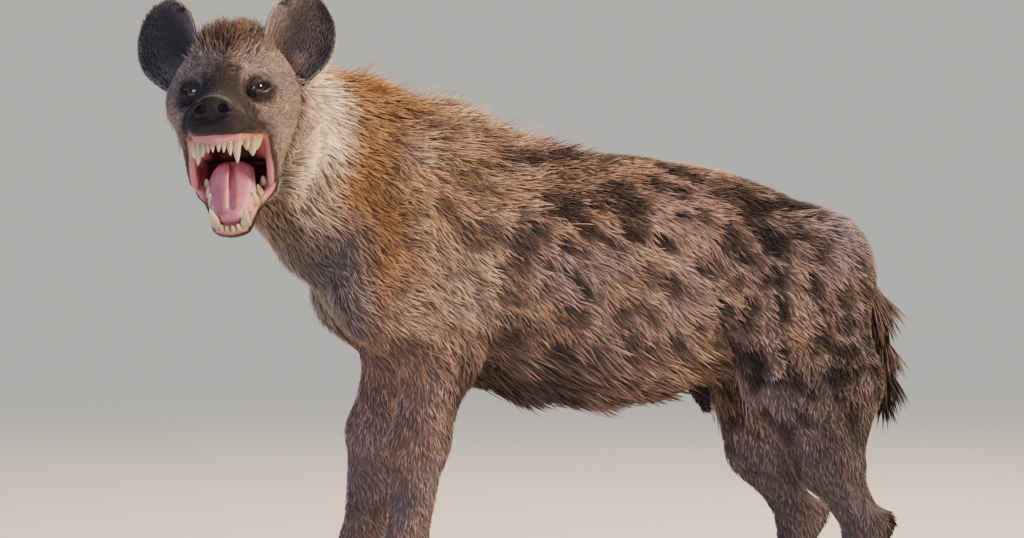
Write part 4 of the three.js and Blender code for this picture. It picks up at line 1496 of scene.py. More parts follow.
@dataclass
class Tufts:
    """Roots and sizes of many tufts of hair."""

    root: Array
    normal: Array
    lie: Array
    length: Array
    width: Array
    lift: Array
    curl: Array
    marks: Array
    tone: Array

    def pick(self, which: Array) -> "Tufts":
        """The tufts at some of the places."""
        return Tufts(*[getattr(self, key)[which] for key in self.__dataclass_fields__])

    def shells(self, rings: int) -> tuple[Array, Array, Array, Array]:
        """Closed three-sided tufts that taper to a point and bend towards the skin.

        Args:
            rings: number of rings of three points before the tip.

        Returns:
            Points, triangles, quads and the share of the length of each point.
        """
        count = len(self.root)
        across = np.cross(self.normal, self.lie)
        place = self.root - self.normal * np.minimum(1.6, self.width * 0.6)[:, None]
        points, shares = [], []
        for ring in range(rings + 1):
            t = ring / rings
            angle = self.lift + self.curl * (t - 0.35)
            heading = self.lie * np.cos(angle)[:, None] + self.normal * np.sin(angle)[:, None]
            face = self.normal * np.cos(angle)[:, None] - self.lie * np.sin(angle)[:, None]
            if ring:
                place = place + heading * (self.length / rings)[:, None]
            if ring == rings:
                points.append(place[:, None])
                shares.append(np.ones((count, 1)))
                break
            half = (self.width * 0.5 * (1.0 - 0.55 * t ** 1.6) * (0.8 if ring == 0 else 1.0))[:, None]
            corners = [place + across * half, place + face * half * 0.8, place - across * half]
            points.append(np.stack(corners, axis=1))
            shares.append(np.full((count, 3), t))
        body = np.concatenate(points, axis=1)
        share = np.concatenate(shares, axis=1)
        size = 3 * rings + 1
        start = (np.arange(count) * size)[:, None, None]
        quads = grid_quads(rings, 3, True)
        last = 3 * (rings - 1)
        tris = np.array([[last + k, last + (k + 1) % 3, size - 1] for k in range(3)] + [[2, 1, 0]])
        faces = (start + tris).reshape(-1, 3), (start + quads).reshape(-1, 4)
        return (body.reshape(-1, 3), *faces, share.reshape(-1))


def off_floor(z: Array) -> Array:
    """Bends heights that come near the floor softly up to just above it."""
    return np.where(z < 2.0, 0.4 + 1.6 * np.exp((np.minimum(z, 2.0) - 2.0) / 1.6), z)


@dataclass(frozen=True)
class Strands:
    """One kind of long lock: how many, how long and wide, how steep in degrees, and which way they lean."""

    name: str
    count: int
    length: float
    width: float
    rise: float
    lean: tuple
    share: float


@dataclass
class Coat:
    """All the hair of the animal, grown from the skin."""

    builder: Builder
    pelt: Pelt
    finish: Material
    density: float = 0.87
    quick_share: float = 0.4
    most_triangles: int = 190000
    rng: np.random.Generator = field(default_factory=lambda: np.random.default_rng(7))
    triangles: int = 0
    crest: Strands = Strands("crest_body", 5900, 38.0, 2.1, 32.0, (0.8, 0.0, 0.1), 1.1)
    nape: Strands = Strands("nape_hair", 3300, 31.0, 1.8, 23.0, (0.5, 0.1, -0.4), 0.9)
    wisps: Strands = Strands("mane_wisps", 750, 46.0, 1.3, 48.0, (0.6, 0.0, 0.3), 0.6)
    belly: Strands = Strands("belly_locks", 2500, 46.0, 3.2, 20.0, (0.8, 0.0, -0.3), 0.7)
    brush: Strands = Strands("tail_brush", 1700, 58.0, 2.6, 12.0, (0.1, 0.0, -1.0), 1.0)
    crown: Strands = Strands("crest_head", 2300, 25.0, 1.35, 56.0, (0.1, -0.1, 0.4), 0.5)
    fringe: Strands = Strands("fringe", 2300, 15.0, 1.15, 34.0, (0.1, -0.1, 0.5), 0.6)
    ruff: Strands = Strands("ruff", 2800, 27.0, 1.8, 22.0, (0.0, 0.0, -0.5), 0.4)

    def sample(self, skin: Surface, weight: Array) -> tuple[Array, Array]:
        """Spreads roots over a skin.

        Args:
            skin: the skin.
            weight: roots for each square millimetre at each point of it.

        Returns:
            Places and normals of the roots.
        """
        tris = np.concatenate([skin.quads[:, [0, 1, 2]], skin.quads[:, [0, 2, 3]]])
        a, b, c = (skin.points[tris[:, k]] for k in range(3))
        area = span(np.cross(b - a, c - a)) / 2
        expect = area * weight[tris].mean(axis=1)
        count = np.floor(expect + self.rng.random(len(expect))).astype(int)
        pick = np.repeat(np.arange(len(tris)), count)
        r = np.sqrt(self.rng.random(len(pick)))
        s = self.rng.random(len(pick))
        bary = np.stack([1 - r, r * (1 - s), r * s], axis=1)
        points = (skin.points[tris[pick]] * bary[:, :, None]).sum(axis=1)
        normals = unit((skin.normals[tris[pick]] * bary[:, :, None]).sum(axis=1))
        return points, normals

    @staticmethod
    def unwrap(p: Array, axis: int) -> Array:
        """Unrolls places round a line along one axis through their middle, to a square.

        Args:
            p: places.
            axis: number of the axis.

        Returns:
            Two values for each place.
        """
        lo, hi = p.min(axis=0), p.max(axis=0)
        middle = (lo + hi) / 2
        a, b = [k for k in range(3) if k != axis]
        angle = np.arctan2(p[:, b] - middle[b], p[:, a] - middle[a]) / (2 * math.pi) + 0.5
        along = (p[:, axis] - lo[axis]) / max(hi[axis] - lo[axis], 1e-6)
        return np.stack([angle, along], axis=1) * 0.99 + 0.005

    def lay_out(self, piece: bpy.types.Object, root: Array, rings: int, axis: int) -> None:
        """Gives each tuft a small patch of the map OFBake, at its root's place on the unrolled skin.

        Args:
            piece: the object.
            root: roots of its tufts.
            rings: rings of points in each.
            axis: the axis that the skin is unrolled round.
        """
        patch = np.array([[0.0, 0.0], [0.0007, 0.0], [-0.0007, 0.0]] * rings + [[0.0, 0.0]])
        patch[:, 1] = np.concatenate([np.repeat(np.arange(rings) / rings, 3), [1.0]]) * 0.0026 - 0.0013
        uv = (self.unwrap(root, axis)[:, None, :] + patch[None]).reshape(-1, 2)
        layer = piece.data.uv_layers.new(name="OFBake")
        corners = np.zeros(len(piece.data.loops), np.int32)
        piece.data.loops.foreach_get("vertex_index", corners)
        layer.data.foreach_set("uv", uv[corners].astype(np.float32).ravel())

    def grow(self, name: str, tufts: Tufts, rings: int, axis: int) -> None:
        """Makes one piece of the coat from tufts, split where it would be too large.

        Args:
            name: name of the piece.
            tufts: what it is made of.
            rings: rings of points in each tuft.
            axis: the axis that the piece runs along.
        """
        per_tuft, size = 6 * (rings - 1) + 4, 3 * rings + 1
        parts = max(1, math.ceil(len(tufts.root) / (self.most_triangles // per_tuft)))
        order = np.argsort(tufts.root[:, axis], kind="stable")
        for number, which in enumerate(np.array_split(order, parts)):
            some = tufts.pick(which)
            if not len(some.root):
                continue
            points, tris, quads, share = some.shells(rings)
            points[:, 2] = off_floor(points[:, 2])
            label = name if parts == 1 else f"{name}_{number + 1}"
            piece = self.builder.mesh(label, points, [tris, quads], self.finish, "coat")
            self.builder.paint(piece, "marks", np.repeat(some.marks, size, axis=0))
            lock = [np.repeat(some.tone, size), share, share, share]
            self.builder.paint(piece, "lock", np.stack(lock, axis=1))
            self.lay_out(piece, some.root, rings, axis)
            self.triangles += len(some.root) * per_tuft

    def comb(self, p: Array, n: Array, length: Array, width: Array, depth: Array) -> Tufts:
        """Gives each root its tuft, lying along the coat.

        Args:
            p: roots.
            n: normals there.
            length: mean length at each root.
            width: mean width.
            depth: how high the tips lie.

        Returns:
            The tufts.
        """
        rng, count = self.rng, len(p)
        length = length * rng.uniform(0.72, 1.25, count)
        lie = self.pelt.lie(p, n)
        across = np.cross(n, lie)
        lie = unit(lie + across * rng.normal(0, 0.19, count)[:, None])
        lift = np.arcsin(np.clip(depth / length, 0.08, 0.8)) * rng.uniform(0.7, 1.2, count)
        streak = self.pelt.streaks(p, 7.0) * 0.42 * (1 - self.pelt.on_head(p))
        marks = self.pelt.marks(p, n)
        tone = rng.normal(0.5, 0.17, count) + 1.15 * streak + 0.14 * self.pelt.rough.at(p, 6.0)
        tone = np.clip(tone + 0.22 * ramp(0.6, 1.0, marks[:, 3]), 0, 1)
        return Tufts(p, n, lie, length, width * rng.uniform(0.75, 1.2, count), lift,
                     -lift * rng.uniform(0.4, 1.1, count), marks, tone)

    def short_hair(self, skin: Surface, bare: Array, deep: float) -> Tufts:
        """Sows short hair over a skin and combs it.

        Args:
            skin: the skin.
            bare: one where no hair grows, at each point of the skin.
            deep: share of the coat's depth.

        Returns:
            The tufts.
        """
        length, width, cover = self.pelt.size(skin.points, skin.normals)
        weight = self.density * cover / (length * width) * ramp(0.6, 0.2, bare)
        p, n = self.sample(skin, weight * (1.0))
        length, width, _ = self.pelt.size(p, n)
        return self.comb(p, n, length, width, self.pelt.depth(p) * deep)

    def locks(self, strands: Strands, skin: Surface, mask: Array) -> None:
        """Grows long locks over part of the skin.

        Args:
            strands: the kind of lock.
            skin: the skin.
            mask: share of locks at each point of the skin.
        """
        a, b, c = (skin.points[skin.quads[:, k]] for k in range(3))
        area = span(np.cross(b - a, c - a))
        whole = (area * mask[skin.quads[:, :3]].mean(axis=1)).sum()
        p, n = self.sample(skin, mask * strands.count / max(whole, 1.0))
        if not len(p):
            return
        count, length = len(p), strands.length
        width, depth = np.full(count, strands.width), np.full(count, length * 0.3)
        tufts = self.comb(p, n, np.full(count, length), width, depth)
        way = unit(tufts.lie + np.array(strands.lean) * strands.share)
        tufts.lie = flattened(way, n)
        tufts.tone = np.clip(tufts.tone + self.rng.normal(0, 0.08, count), 0, 1)
        tufts.lift = np.radians(strands.rise) * self.rng.uniform(0.6, 1.25, count)
        tufts.curl = -tufts.lift * self.rng.uniform(0.1, 0.9, count)
        self.grow(strands.name, tufts, 4, 0)

    def dress_body(self, skin: Surface, bare: Array) -> None:
        """Grows the coat of the body: short hair, crest, long belly hair and the brush of the tail.

        Args:
            skin: the skin of the body.
            bare: one where no hair grows, at each point of the skin.
        """
        tufts = self.short_hair(skin, bare, 1.0)
        region = self.pelt.region(tufts.root)
        axes = {Region.FACE: 0, Region.FORELEG: 2, Region.HINDLEG: 2, Region.TAIL: 2}
        left = tufts.root[:, 1] < 0
        for kind in Region:
            for side, mask in (("left", left), ("right", ~left)):
                which = np.nonzero((region == kind.value) & mask)[0]
                if len(which):
                    self.grow(f"coat_{kind.name.lower()}_{side}", tufts.pick(which), 2, axes.get(kind, 0))
        x, y, z = skin.points.T
        up, free = skin.normals[:, 2], ramp(0.6, 0.2, bare)
        off_sheath = 1 - ramp(84, 60, span(skin.points - self.pelt.sheath))
        low = ramp(0.1, -0.45, up) * ramp(-52, -20, x) * ramp(320, 270, x) * ramp(480, 430, z) * free
        self.locks(self.crest, skin, ramp(0.1, 0.6, up) * ramp(120, -60, x) * ramp(610, 690, z) * free)
        self.locks(self.nape, skin, ramp(-0.3, 0.3, up) * ramp(-190, -240, x) * ramp(560, 640, z) * free)
        self.locks(self.wisps, skin, ramp(0.2, 0.7, up) * ramp(60, -40, x) * ramp(650, 720, z) * free)
        self.locks(self.belly, skin, low * off_sheath)
        self.locks(self.brush, skin, ramp(500, 515, x) * ramp(560, 500, z) * ramp(50, 40, np.abs(y)))

    def dress_head(self, skin: Surface, bare: Array) -> None:
        """Grows the coat of the head: short hair, the tuft of the crown and the ruff behind the cheeks.

        Args:
            skin: the skin of the head.
            bare: one where no hair grows, at each point of the skin.
        """
        tufts = self.short_hair(skin, bare, 0.9)
        left = HEAD.local(tufts.root)[:, 1] > 0
        for side, mask in (("left", left), ("right", ~left)):
            self.grow(f"coat_head_{side}", tufts.pick(np.nonzero(mask)[0]), 2, 2)
        f, s, u = HEAD.local(skin.points).T
        s, up, free = np.abs(s), skin.normals[:, 2], ramp(0.6, 0.2, bare)
        self.locks(self.crown, skin, ramp(0.2, 0.7, up) * ramp(46, 14, s) * ramp(40, -10, f) * free)
        self.locks(self.fringe, skin, ramp(0.1, 0.5, up) * ramp(60, 34, s) * ramp(62, 24, f) * free)
        self.locks(self.ruff, skin, ramp(4, -30, f) * ramp(44, 64, s) * ramp(70, 30, u) * free)


@dataclass
class Hide:
    """The closed skin of the whole animal."""

    cell: float = 5.6
    face_cell: float = 2.3
    cut: float = -74.0
    overlap: float = 5.0
    nose: tuple = (160.0, 0.0, 14.0)
    lip: float = 4.0
    lip_front: float = 13.0
    lip_side: float = 12.0

    def folds(self, q: Array) -> Array:
        """Height of the wrinkles beside the muzzle, under the eyes and over the brows.

        Args:
            q: places in the head's axes.

        Returns:
            One value for each.
        """
        f, s, u = q[:, 0], np.abs(q[:, 1]), q[:, 2]
        beside = ramp(52, 76, f) * ramp(136, 116, f) * ramp(14, 24, s) * ramp(-20, -8, u) * ramp(30, 18, u)
        snarl = np.sin((u + 0.42 * (f - 90) + 0.012 * (f - 96) ** 2) * 2 * math.pi / 8.5)
        ring = np.sqrt((f - 56) ** 2 + (s - 42) ** 2 + (u - 40) ** 2)
        bag = ramp(20, 23, ring) * ramp(38, 30, ring) * ramp(40, 30, u) * np.sin(ring * 2 * math.pi / 6.5)
        brow = ramp(20, 23, ring) * ramp(36, 28, ring) * ramp(46, 54, u) * np.sin(ring * 2 * math.pi / 8.0)
        return 1.5 * beside * snarl + 1.1 * bag + 0.9 * brow

    def bare_places(self, p: Array, n: Array, under: Array, on_head: Array) -> tuple[Array, Array]:
        """Finds the lining of the mouth, the lips and the lids.

        Args:
            p: places on the skin.
            n: normals there.
            under: the field there of the body with its mouth shut.
            on_head: one on the head.

        Returns:
            Four values to store at each place, and one where the skin is lining or lip.
        """
        mouth, q, j = ANATOMY.mouth(p), HEAD.local(p), JAW.local(p)
        f, s, u = q[:, 0], np.abs(q[:, 1]), q[:, 2]
        jf, ju = j[:, 0], j[:, 2]
        ahead = np.maximum(f, jf)
        # The roof and the floor of the mouth, and the skin between the jaws.
        inside = ramp(-2.2, -5.0, under) * ramp(6.0, 3.0, mouth) * on_head
        roof = ramp(4.0, 0.0, s - np.interp(f, [30, 56, 140, 158], [48, 42, 24, 0]))
        roof *= ramp(-0.05, -0.3, n @ HEAD.turn[:, 2]) * ramp(20, 30, f) * ramp(-70, -58, u) * ramp(-4, -9, u)
        roof *= ramp(156, 150, f)
        bed = ramp(9.0, 6.0, s - np.interp(jf, [30, 70, 105, 141, 158], [44, 37, 27, 18, 0]))
        facing_up = ramp(-0.1, 0.15, n @ JAW.turn[:, 2])
        bed *= facing_up * ramp(20, 30, jf) * ramp(-78, -70, ju) * ramp(-30, -38, ju)
        bed *= ramp(156, 151, jf)
        wedge = ramp(-8, -14, u) * ramp(-64, -56, ju) * ramp(16, 26, ahead) * ramp(156, 150, ahead)
        wedge *= ramp(3.0, 0.0, s - np.interp(ahead, [0, 56, 140, 156], [46, 43, 24, 0]))
        both = np.maximum(roof * ramp(26, 20, mouth), bed * ramp(12, 8, mouth))
        inside = np.maximum(inside, both * on_head)
        # The gums, and the inner side of the lips.
        lower_gum = ramp(-60, -57, ju) * ramp(-16, -34, ju) * ramp(36, 56, jf)
        lower_gum *= ramp(9, 6.5, mouth) * ramp(3.5, 1.5, s - np.interp(jf, [50, 140, 160], [46, 25, 17]))
        sides = ramp(-14, -24, u) * ramp(-68, -58, ju) * ramp(18, 32, ahead) * ramp(118, 92, ahead)
        inner_lip = ramp(9.5, 7.0, mouth) * sides
        inside = np.maximum(inside, np.maximum.reduce([wedge, lower_gum, inner_lip]) * on_head)
        gum = ramp(2.6, 0.8, ANATOMY.gums()(p)) * on_head * ramp(-18, -22.5, u)
        lining = np.maximum(inside, gum)
        # The dark lips and lids.
        edge = self.lip + self.lip_front * ramp(70, 120, jf) * ramp(10, -20, u)
        edge = np.maximum(edge, self.lip + self.lip_side * sides)
        lip = ramp(edge, 0.55 * edge, mouth) * on_head * (1 - lining)
        lid = ramp(5.4, 2.0, ANATOMY.slit(p)) * on_head
        # Painted shade deep in the mouth: the lining darkens towards the throat.
        deep = ramp(46, 4, f) * ramp(46, 38, s)
        bare = np.stack([lining, np.maximum(lip, lid), deep, np.zeros(len(p))], axis=1)
        return bare, np.maximum(lining, lip)

    def build(self, builder: Builder, pelt: Pelt, finish: Material) -> tuple[list[Surface], list[Array]]:
        """Makes the skin of the body and of the head.

        Args:
            builder: makes the objects.
            pelt: colours and depth of the coat.
            finish: the material of the skin.

        Returns:
            The two surfaces, and where no hair grows on each.
        """
        flesh = ANATOMY.flesh(pelt.depth)
        whole = ANATOMY.hide(flesh)
        part = HEAD.origin + HEAD.way(np.array([self.cut, 0.0, 0.0]))
        ahead = HEAD.turn[:, 0]

        def behind(p: Array) -> Array:
            """The skin behind the cut through the neck."""
            return np.maximum(whole(p), (p - part) @ ahead)

        def before(p: Array) -> Array:
            """The skin before the cut, which it overlaps a little."""
            return np.maximum(whole(p), -((p - part) @ ahead) - self.overlap)

        trunk = wrap(behind, (-520, -250, -8), (590, 250, 860), self.cell)
        face = wrap(before, (-620, -400, 520), (-230, 20, 960), self.face_cell)
        bares = []
        for name, skin in (("skin_body", trunk), ("skin_head", face)):
            p, n, q = skin.points, skin.normals, HEAD.local(skin.points)
            bare, smooth = self.bare_places(p, n, flesh(p), pelt.on_head(p))
            if skin is face:
                skin.points = p = p + n * self.folds(q)[:, None] * (1 - smooth)[:, None]
            piece = builder.mesh(name, p, [skin.quads], finish, "coat")
            builder.paint(piece, "marks", pelt.marks(p, n))
            builder.paint(piece, "bare", bare)
            if skin is trunk:
                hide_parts("neck", "chest", "belly", "rump", "tail", "foreleg_left", "foreleg_right",
                            "hindleg_left", "hindleg_right", "paw_fore_left", "paw_fore_right",
                            "paw_hind_left", "paw_hind_right")
            else:
                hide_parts("head", "lower_jaw")
            seam = ((p - part) @ ahead) * (-1 if skin is trunk else 1)
            sole = ramp(3.0, 1.0, p[:, 2])
            nose = ramp(26, 20, span(q - np.array(self.nose)))
            cap = ramp(0.6, 0.8, np.abs(n @ ahead)) * ramp(6.0, 2.0, np.abs(seam))
            bares.append(np.maximum.reduce([bare[:, 0], bare[:, 1], sole, nose, ramp(-1.0, -3.0, seam), cap]))
        return [trunk, face], bares


@dataclass
class NosePad:
    """The bare nose with its two nostrils."""

    centre: tuple = (157.0, 0.0, 16.0)
    size: tuple = (17.5, 25.5, 17.0)
    nostril: tuple = (170.5, 14.5, 14.0)

    def build(self, builder: Builder, finish: Material) -> None:
        """Makes the nose.

        Args:
            builder: makes the objects.
            finish: the material.
        """
        pad = blend(7, blob(self.centre, self.size), limb((160, 0, 4), (162, 0, -12), 8, 5))
        wings = blob((165, 19, 13), (9.5, 9, 11))
        groove = limb((178, 0, 12), (174, 0, -16), 2.2, 1.6)
        hole = blob(self.nostril, (10, 6.8, 5.6))
        comma = limb((169, 21, 11), (162, 28.5, 7), 3.6, 2.2)

        def shape(q: Array) -> Array:
            """Distance to the nose.

            Args:
                q: places in the head's axes.

            Returns:
                One value for each.
            """
            d = soft_min(pad(q), wings(q), 6.0)
            d = soft_max(d, -groove(q), 2.5)
            d = soft_max(d, -hole(q), 3.0)
            return soft_max(d, -comma(q), 2.5)

        skin = wrap(HEAD.placed(shape), (-520, -390, 740), (-440, -300, 840), 1.3, 4.0)
        piece = builder.mesh("nose_pad", skin.points, [skin.quads], finish, "nose_skin")
        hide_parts("nose")


@dataclass
class Tongue:
    """The long tongue with its groove, lying along the lower jaw."""

    def build(self, builder: Builder, finish: Material) -> None:
        """Makes the tongue.

        Args:
            builder: makes the objects.
            finish: the material.
        """
        body = chain(14, [
            (66, 0, -34, 17), (80, 0, -41, 17.5), (98, 0, -45, 15.5), (116, 0, -46, 13.5), (137, 0, -46, 11),
        ], 1.65)
        groove = limb((60, 0, -23), (130, 0, -33), 4.5, 3)

        def shape(q: Array) -> Array:
            """Distance to the tongue."""
            return soft_max(body(q), -groove(q), 8.0)

        skin = wrap(JAW.placed(shape), (-580, -360, 560), (-400, -180, 800), 1.8, 4.0)
        piece = builder.mesh("tongue_body", skin.points, [skin.quads], finish, "tongue")
        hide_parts("tongue")


@dataclass
class Horns:
    """Curved cones: the teeth and the claws."""

    sides: int = 14
    rings: int = 8

    upper: tuple = (
        ((154, 3.9, -31), (158, 3.9, -44.5), 3.5), ((151, 10.6, -31), (156, 10.6, -45.5), 3.7),
        ((147, 17.2, -30), (152, 18.8, -50), 4.7), ((138, 25, -25), (146, 27, -61), 7.2),
        ((126.5, 29, -27), (127, 30, -36.5), 4.0), ((112, 33.5, -25), (113, 35, -43), 6.6),
        ((94, 38, -24), (95, 39.5, -51), 9.6), ((74, 40.5, -22), (74, 41, -43), 10.5),
    )
    lower: tuple = (
        ((156, 4, -56), (160, 4, -40), 4.0), ((153, 11, -56), (157, 11, -40), 4.2),
        ((148, 17, -56), (152, 17, -38), 4.8), ((141, 19, -60), (148, 24, -17), 7.6),
        ((121, 23, -58), (121, 25, -38), 6.0), ((105, 28, -58), (105, 30, -31), 7.5),
        ((88, 33, -58), (88, 34, -35), 7.5), ((70, 38, -58), (70, 39, -38), 7.5),
    )

    def cone(
        self, root: Array, tip: Array, radius: float, bow: Array, flat: float = 1.0,
    ) -> tuple[Array, Array]:
        """One cone that bows sideways and tapers to a blunt tip.

        Args:
            root: middle of its base.
            tip: its tip.
            radius: radius of its base.
            bow: how far its middle is pushed out.
            flat: width for each unit of depth.

        Returns:
            Points and the share of the length of each.
        """
        axis = unit(tip - root)
        side = unit(np.cross(axis, [0.0, 0.0, 1.0] if abs(axis[2]) < 0.9 else [1.0, 0.0, 0.0]))
        over = np.cross(axis, side)
        angle = np.arange(self.sides) * 2 * math.pi / self.sides
        rows, shares = [], []
        for ring in range(self.rings + 1):
            t = ring / self.rings
            r = radius * (1 - t ** 1.5) ** 0.75 + 0.25
            middle = root + (tip - root) * t + bow * (4 * t * (1 - t))
            rows.append(middle + r * (np.cos(angle)[:, None] * side * flat + np.sin(angle)[:, None] * over))
            shares.append(np.full(self.sides, t))
        rows.append((tip + axis * 0.3)[None])
        shares.append(np.ones(1))
        return np.concatenate(rows), np.concatenate(shares)

    def gather(self, builder: Builder, name: str, cones: list, finish: Material, slot: str) -> None:
        """Makes one piece of many cones.

        Args:
            builder: makes the objects.
            name: name of the piece.
            cones: points and shares of each cone.
            finish: the material.
            slot: name of a material slot, passed on to the builder.
        """
        points, shares, quads, tris = [], [], [], []
        start = 0
        for cone, share in cones:
            points.append(cone)
            shares.append(share)
            quads.append(grid_quads(self.rings + 1, self.sides, True, start))
            top = start + self.rings * self.sides
            k = np.arange(self.sides)
            tip = np.full(self.sides, len(cone) - 1 + start)
            tris.append(np.stack([top + k, top + (k + 1) % self.sides, tip], axis=1))
            tris.append(np.stack([np.full(self.sides - 2, start), start + k[2:], start + k[1:-1]], axis=1))
            start += len(cone)
        faces = [np.concatenate(quads), np.concatenate(tris)]
        piece = builder.mesh(name, np.concatenate(points), faces, finish, slot)
        builder.paint(piece, "lock", np.concatenate(shares))

    def build(self, builder: Builder, teeth: Material, claw: Material) -> None:
        """Makes the teeth of both jaws and the claws of the four feet.

        Args:
            builder: makes the objects.
            teeth: material of the teeth.
            claw: material of the claws.
        """
        for name, axes, rows in (("teeth_upper", HEAD, self.upper), ("teeth_lower", JAW, self.lower)):
            cones = []
            for root, tip, radius in rows:
                for side in (1, -1):
                    mirror = np.array([1, side, 1])
                    a, b = axes.world(np.array(root) * mirror), axes.world(np.array(tip) * mirror)
                    canine = radius > 7.5 and root[0] > 140
                    bow = axes.way(np.array([3.0 if canine else 0.0, 0.0, 0.0]))
                    cones.append(self.cone(a, b, radius, bow))
            self.gather(builder, name, cones, teeth, "face")
        cones = []
        for x, y, s in ANATOMY.feet:
            for i in TOES:
                tip = np.array([x - (84 - 7 * abs(i)) * s, y + 20 * i * s, 7.0])
                root = np.array([tip[0] + 26, y + 19 * i * s, 15 * s])
                cones.append(self.cone(root, tip, 5.0, np.array([0.0, 0.0, 2.2]), 0.8))
        self.gather(builder, "claws", cones, claw, "dark_fur")


@dataclass
class Eyes:
    """Both eyeballs with the bulge of the cornea."""

    rings: int = 28
    sides: int = 40

    def build(self, builder: Builder, finish: Material) -> None:
        """Makes the eyes.

        Args:
            builder: makes the objects.
            finish: the material.
        """
        for name, side in (("left", 1), ("right", -1)):
            axes = ANATOMY.eye_axes(side)
            angle = np.arange(self.sides) * 2 * math.pi / self.sides
            rows, shares = [], []
            for ring in range(self.rings + 1):
                polar = math.pi * (0.004 + 0.992 * ring / self.rings)
                r = ANATOMY.eye_radius - 0.2 + 0.7 * math.exp(-(polar / 0.62) ** 4)
                ringpoints = np.stack([
                    np.full(self.sides, r * math.cos(polar)),
                    r * math.sin(polar) * np.cos(angle), r * math.sin(polar) * np.sin(angle),
                ], axis=1)
                rows.append(axes.world(ringpoints))
                shares.append(np.full(self.sides, min(polar / 1.35, 1.0)))
            quads = grid_quads(self.rings + 1, self.sides, True)
            last = self.rings * self.sides
            k = np.arange(1, self.sides - 1)
            front = np.stack([np.zeros(len(k), int), k + 1, k], axis=1)
            back = np.stack([np.full(len(k), last), last + k, last + k + 1], axis=1)
            caps = np.concatenate([front, back])
            if side < 0:
                quads, caps = quads[:, ::-1], caps[:, ::-1]
            piece = builder.mesh(f"eyeball_{name}", np.concatenate(rows), [quads, caps], finish, "eye")
            builder.paint(piece, "lock", np.concatenate(shares))
            box = np.array(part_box("eye_left")).mean(axis=0) - builder.shift
            near = "eye_left" if np.linalg.norm(box * 1000 - axes.origin) < 20 else "eye_right"
            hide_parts(near)


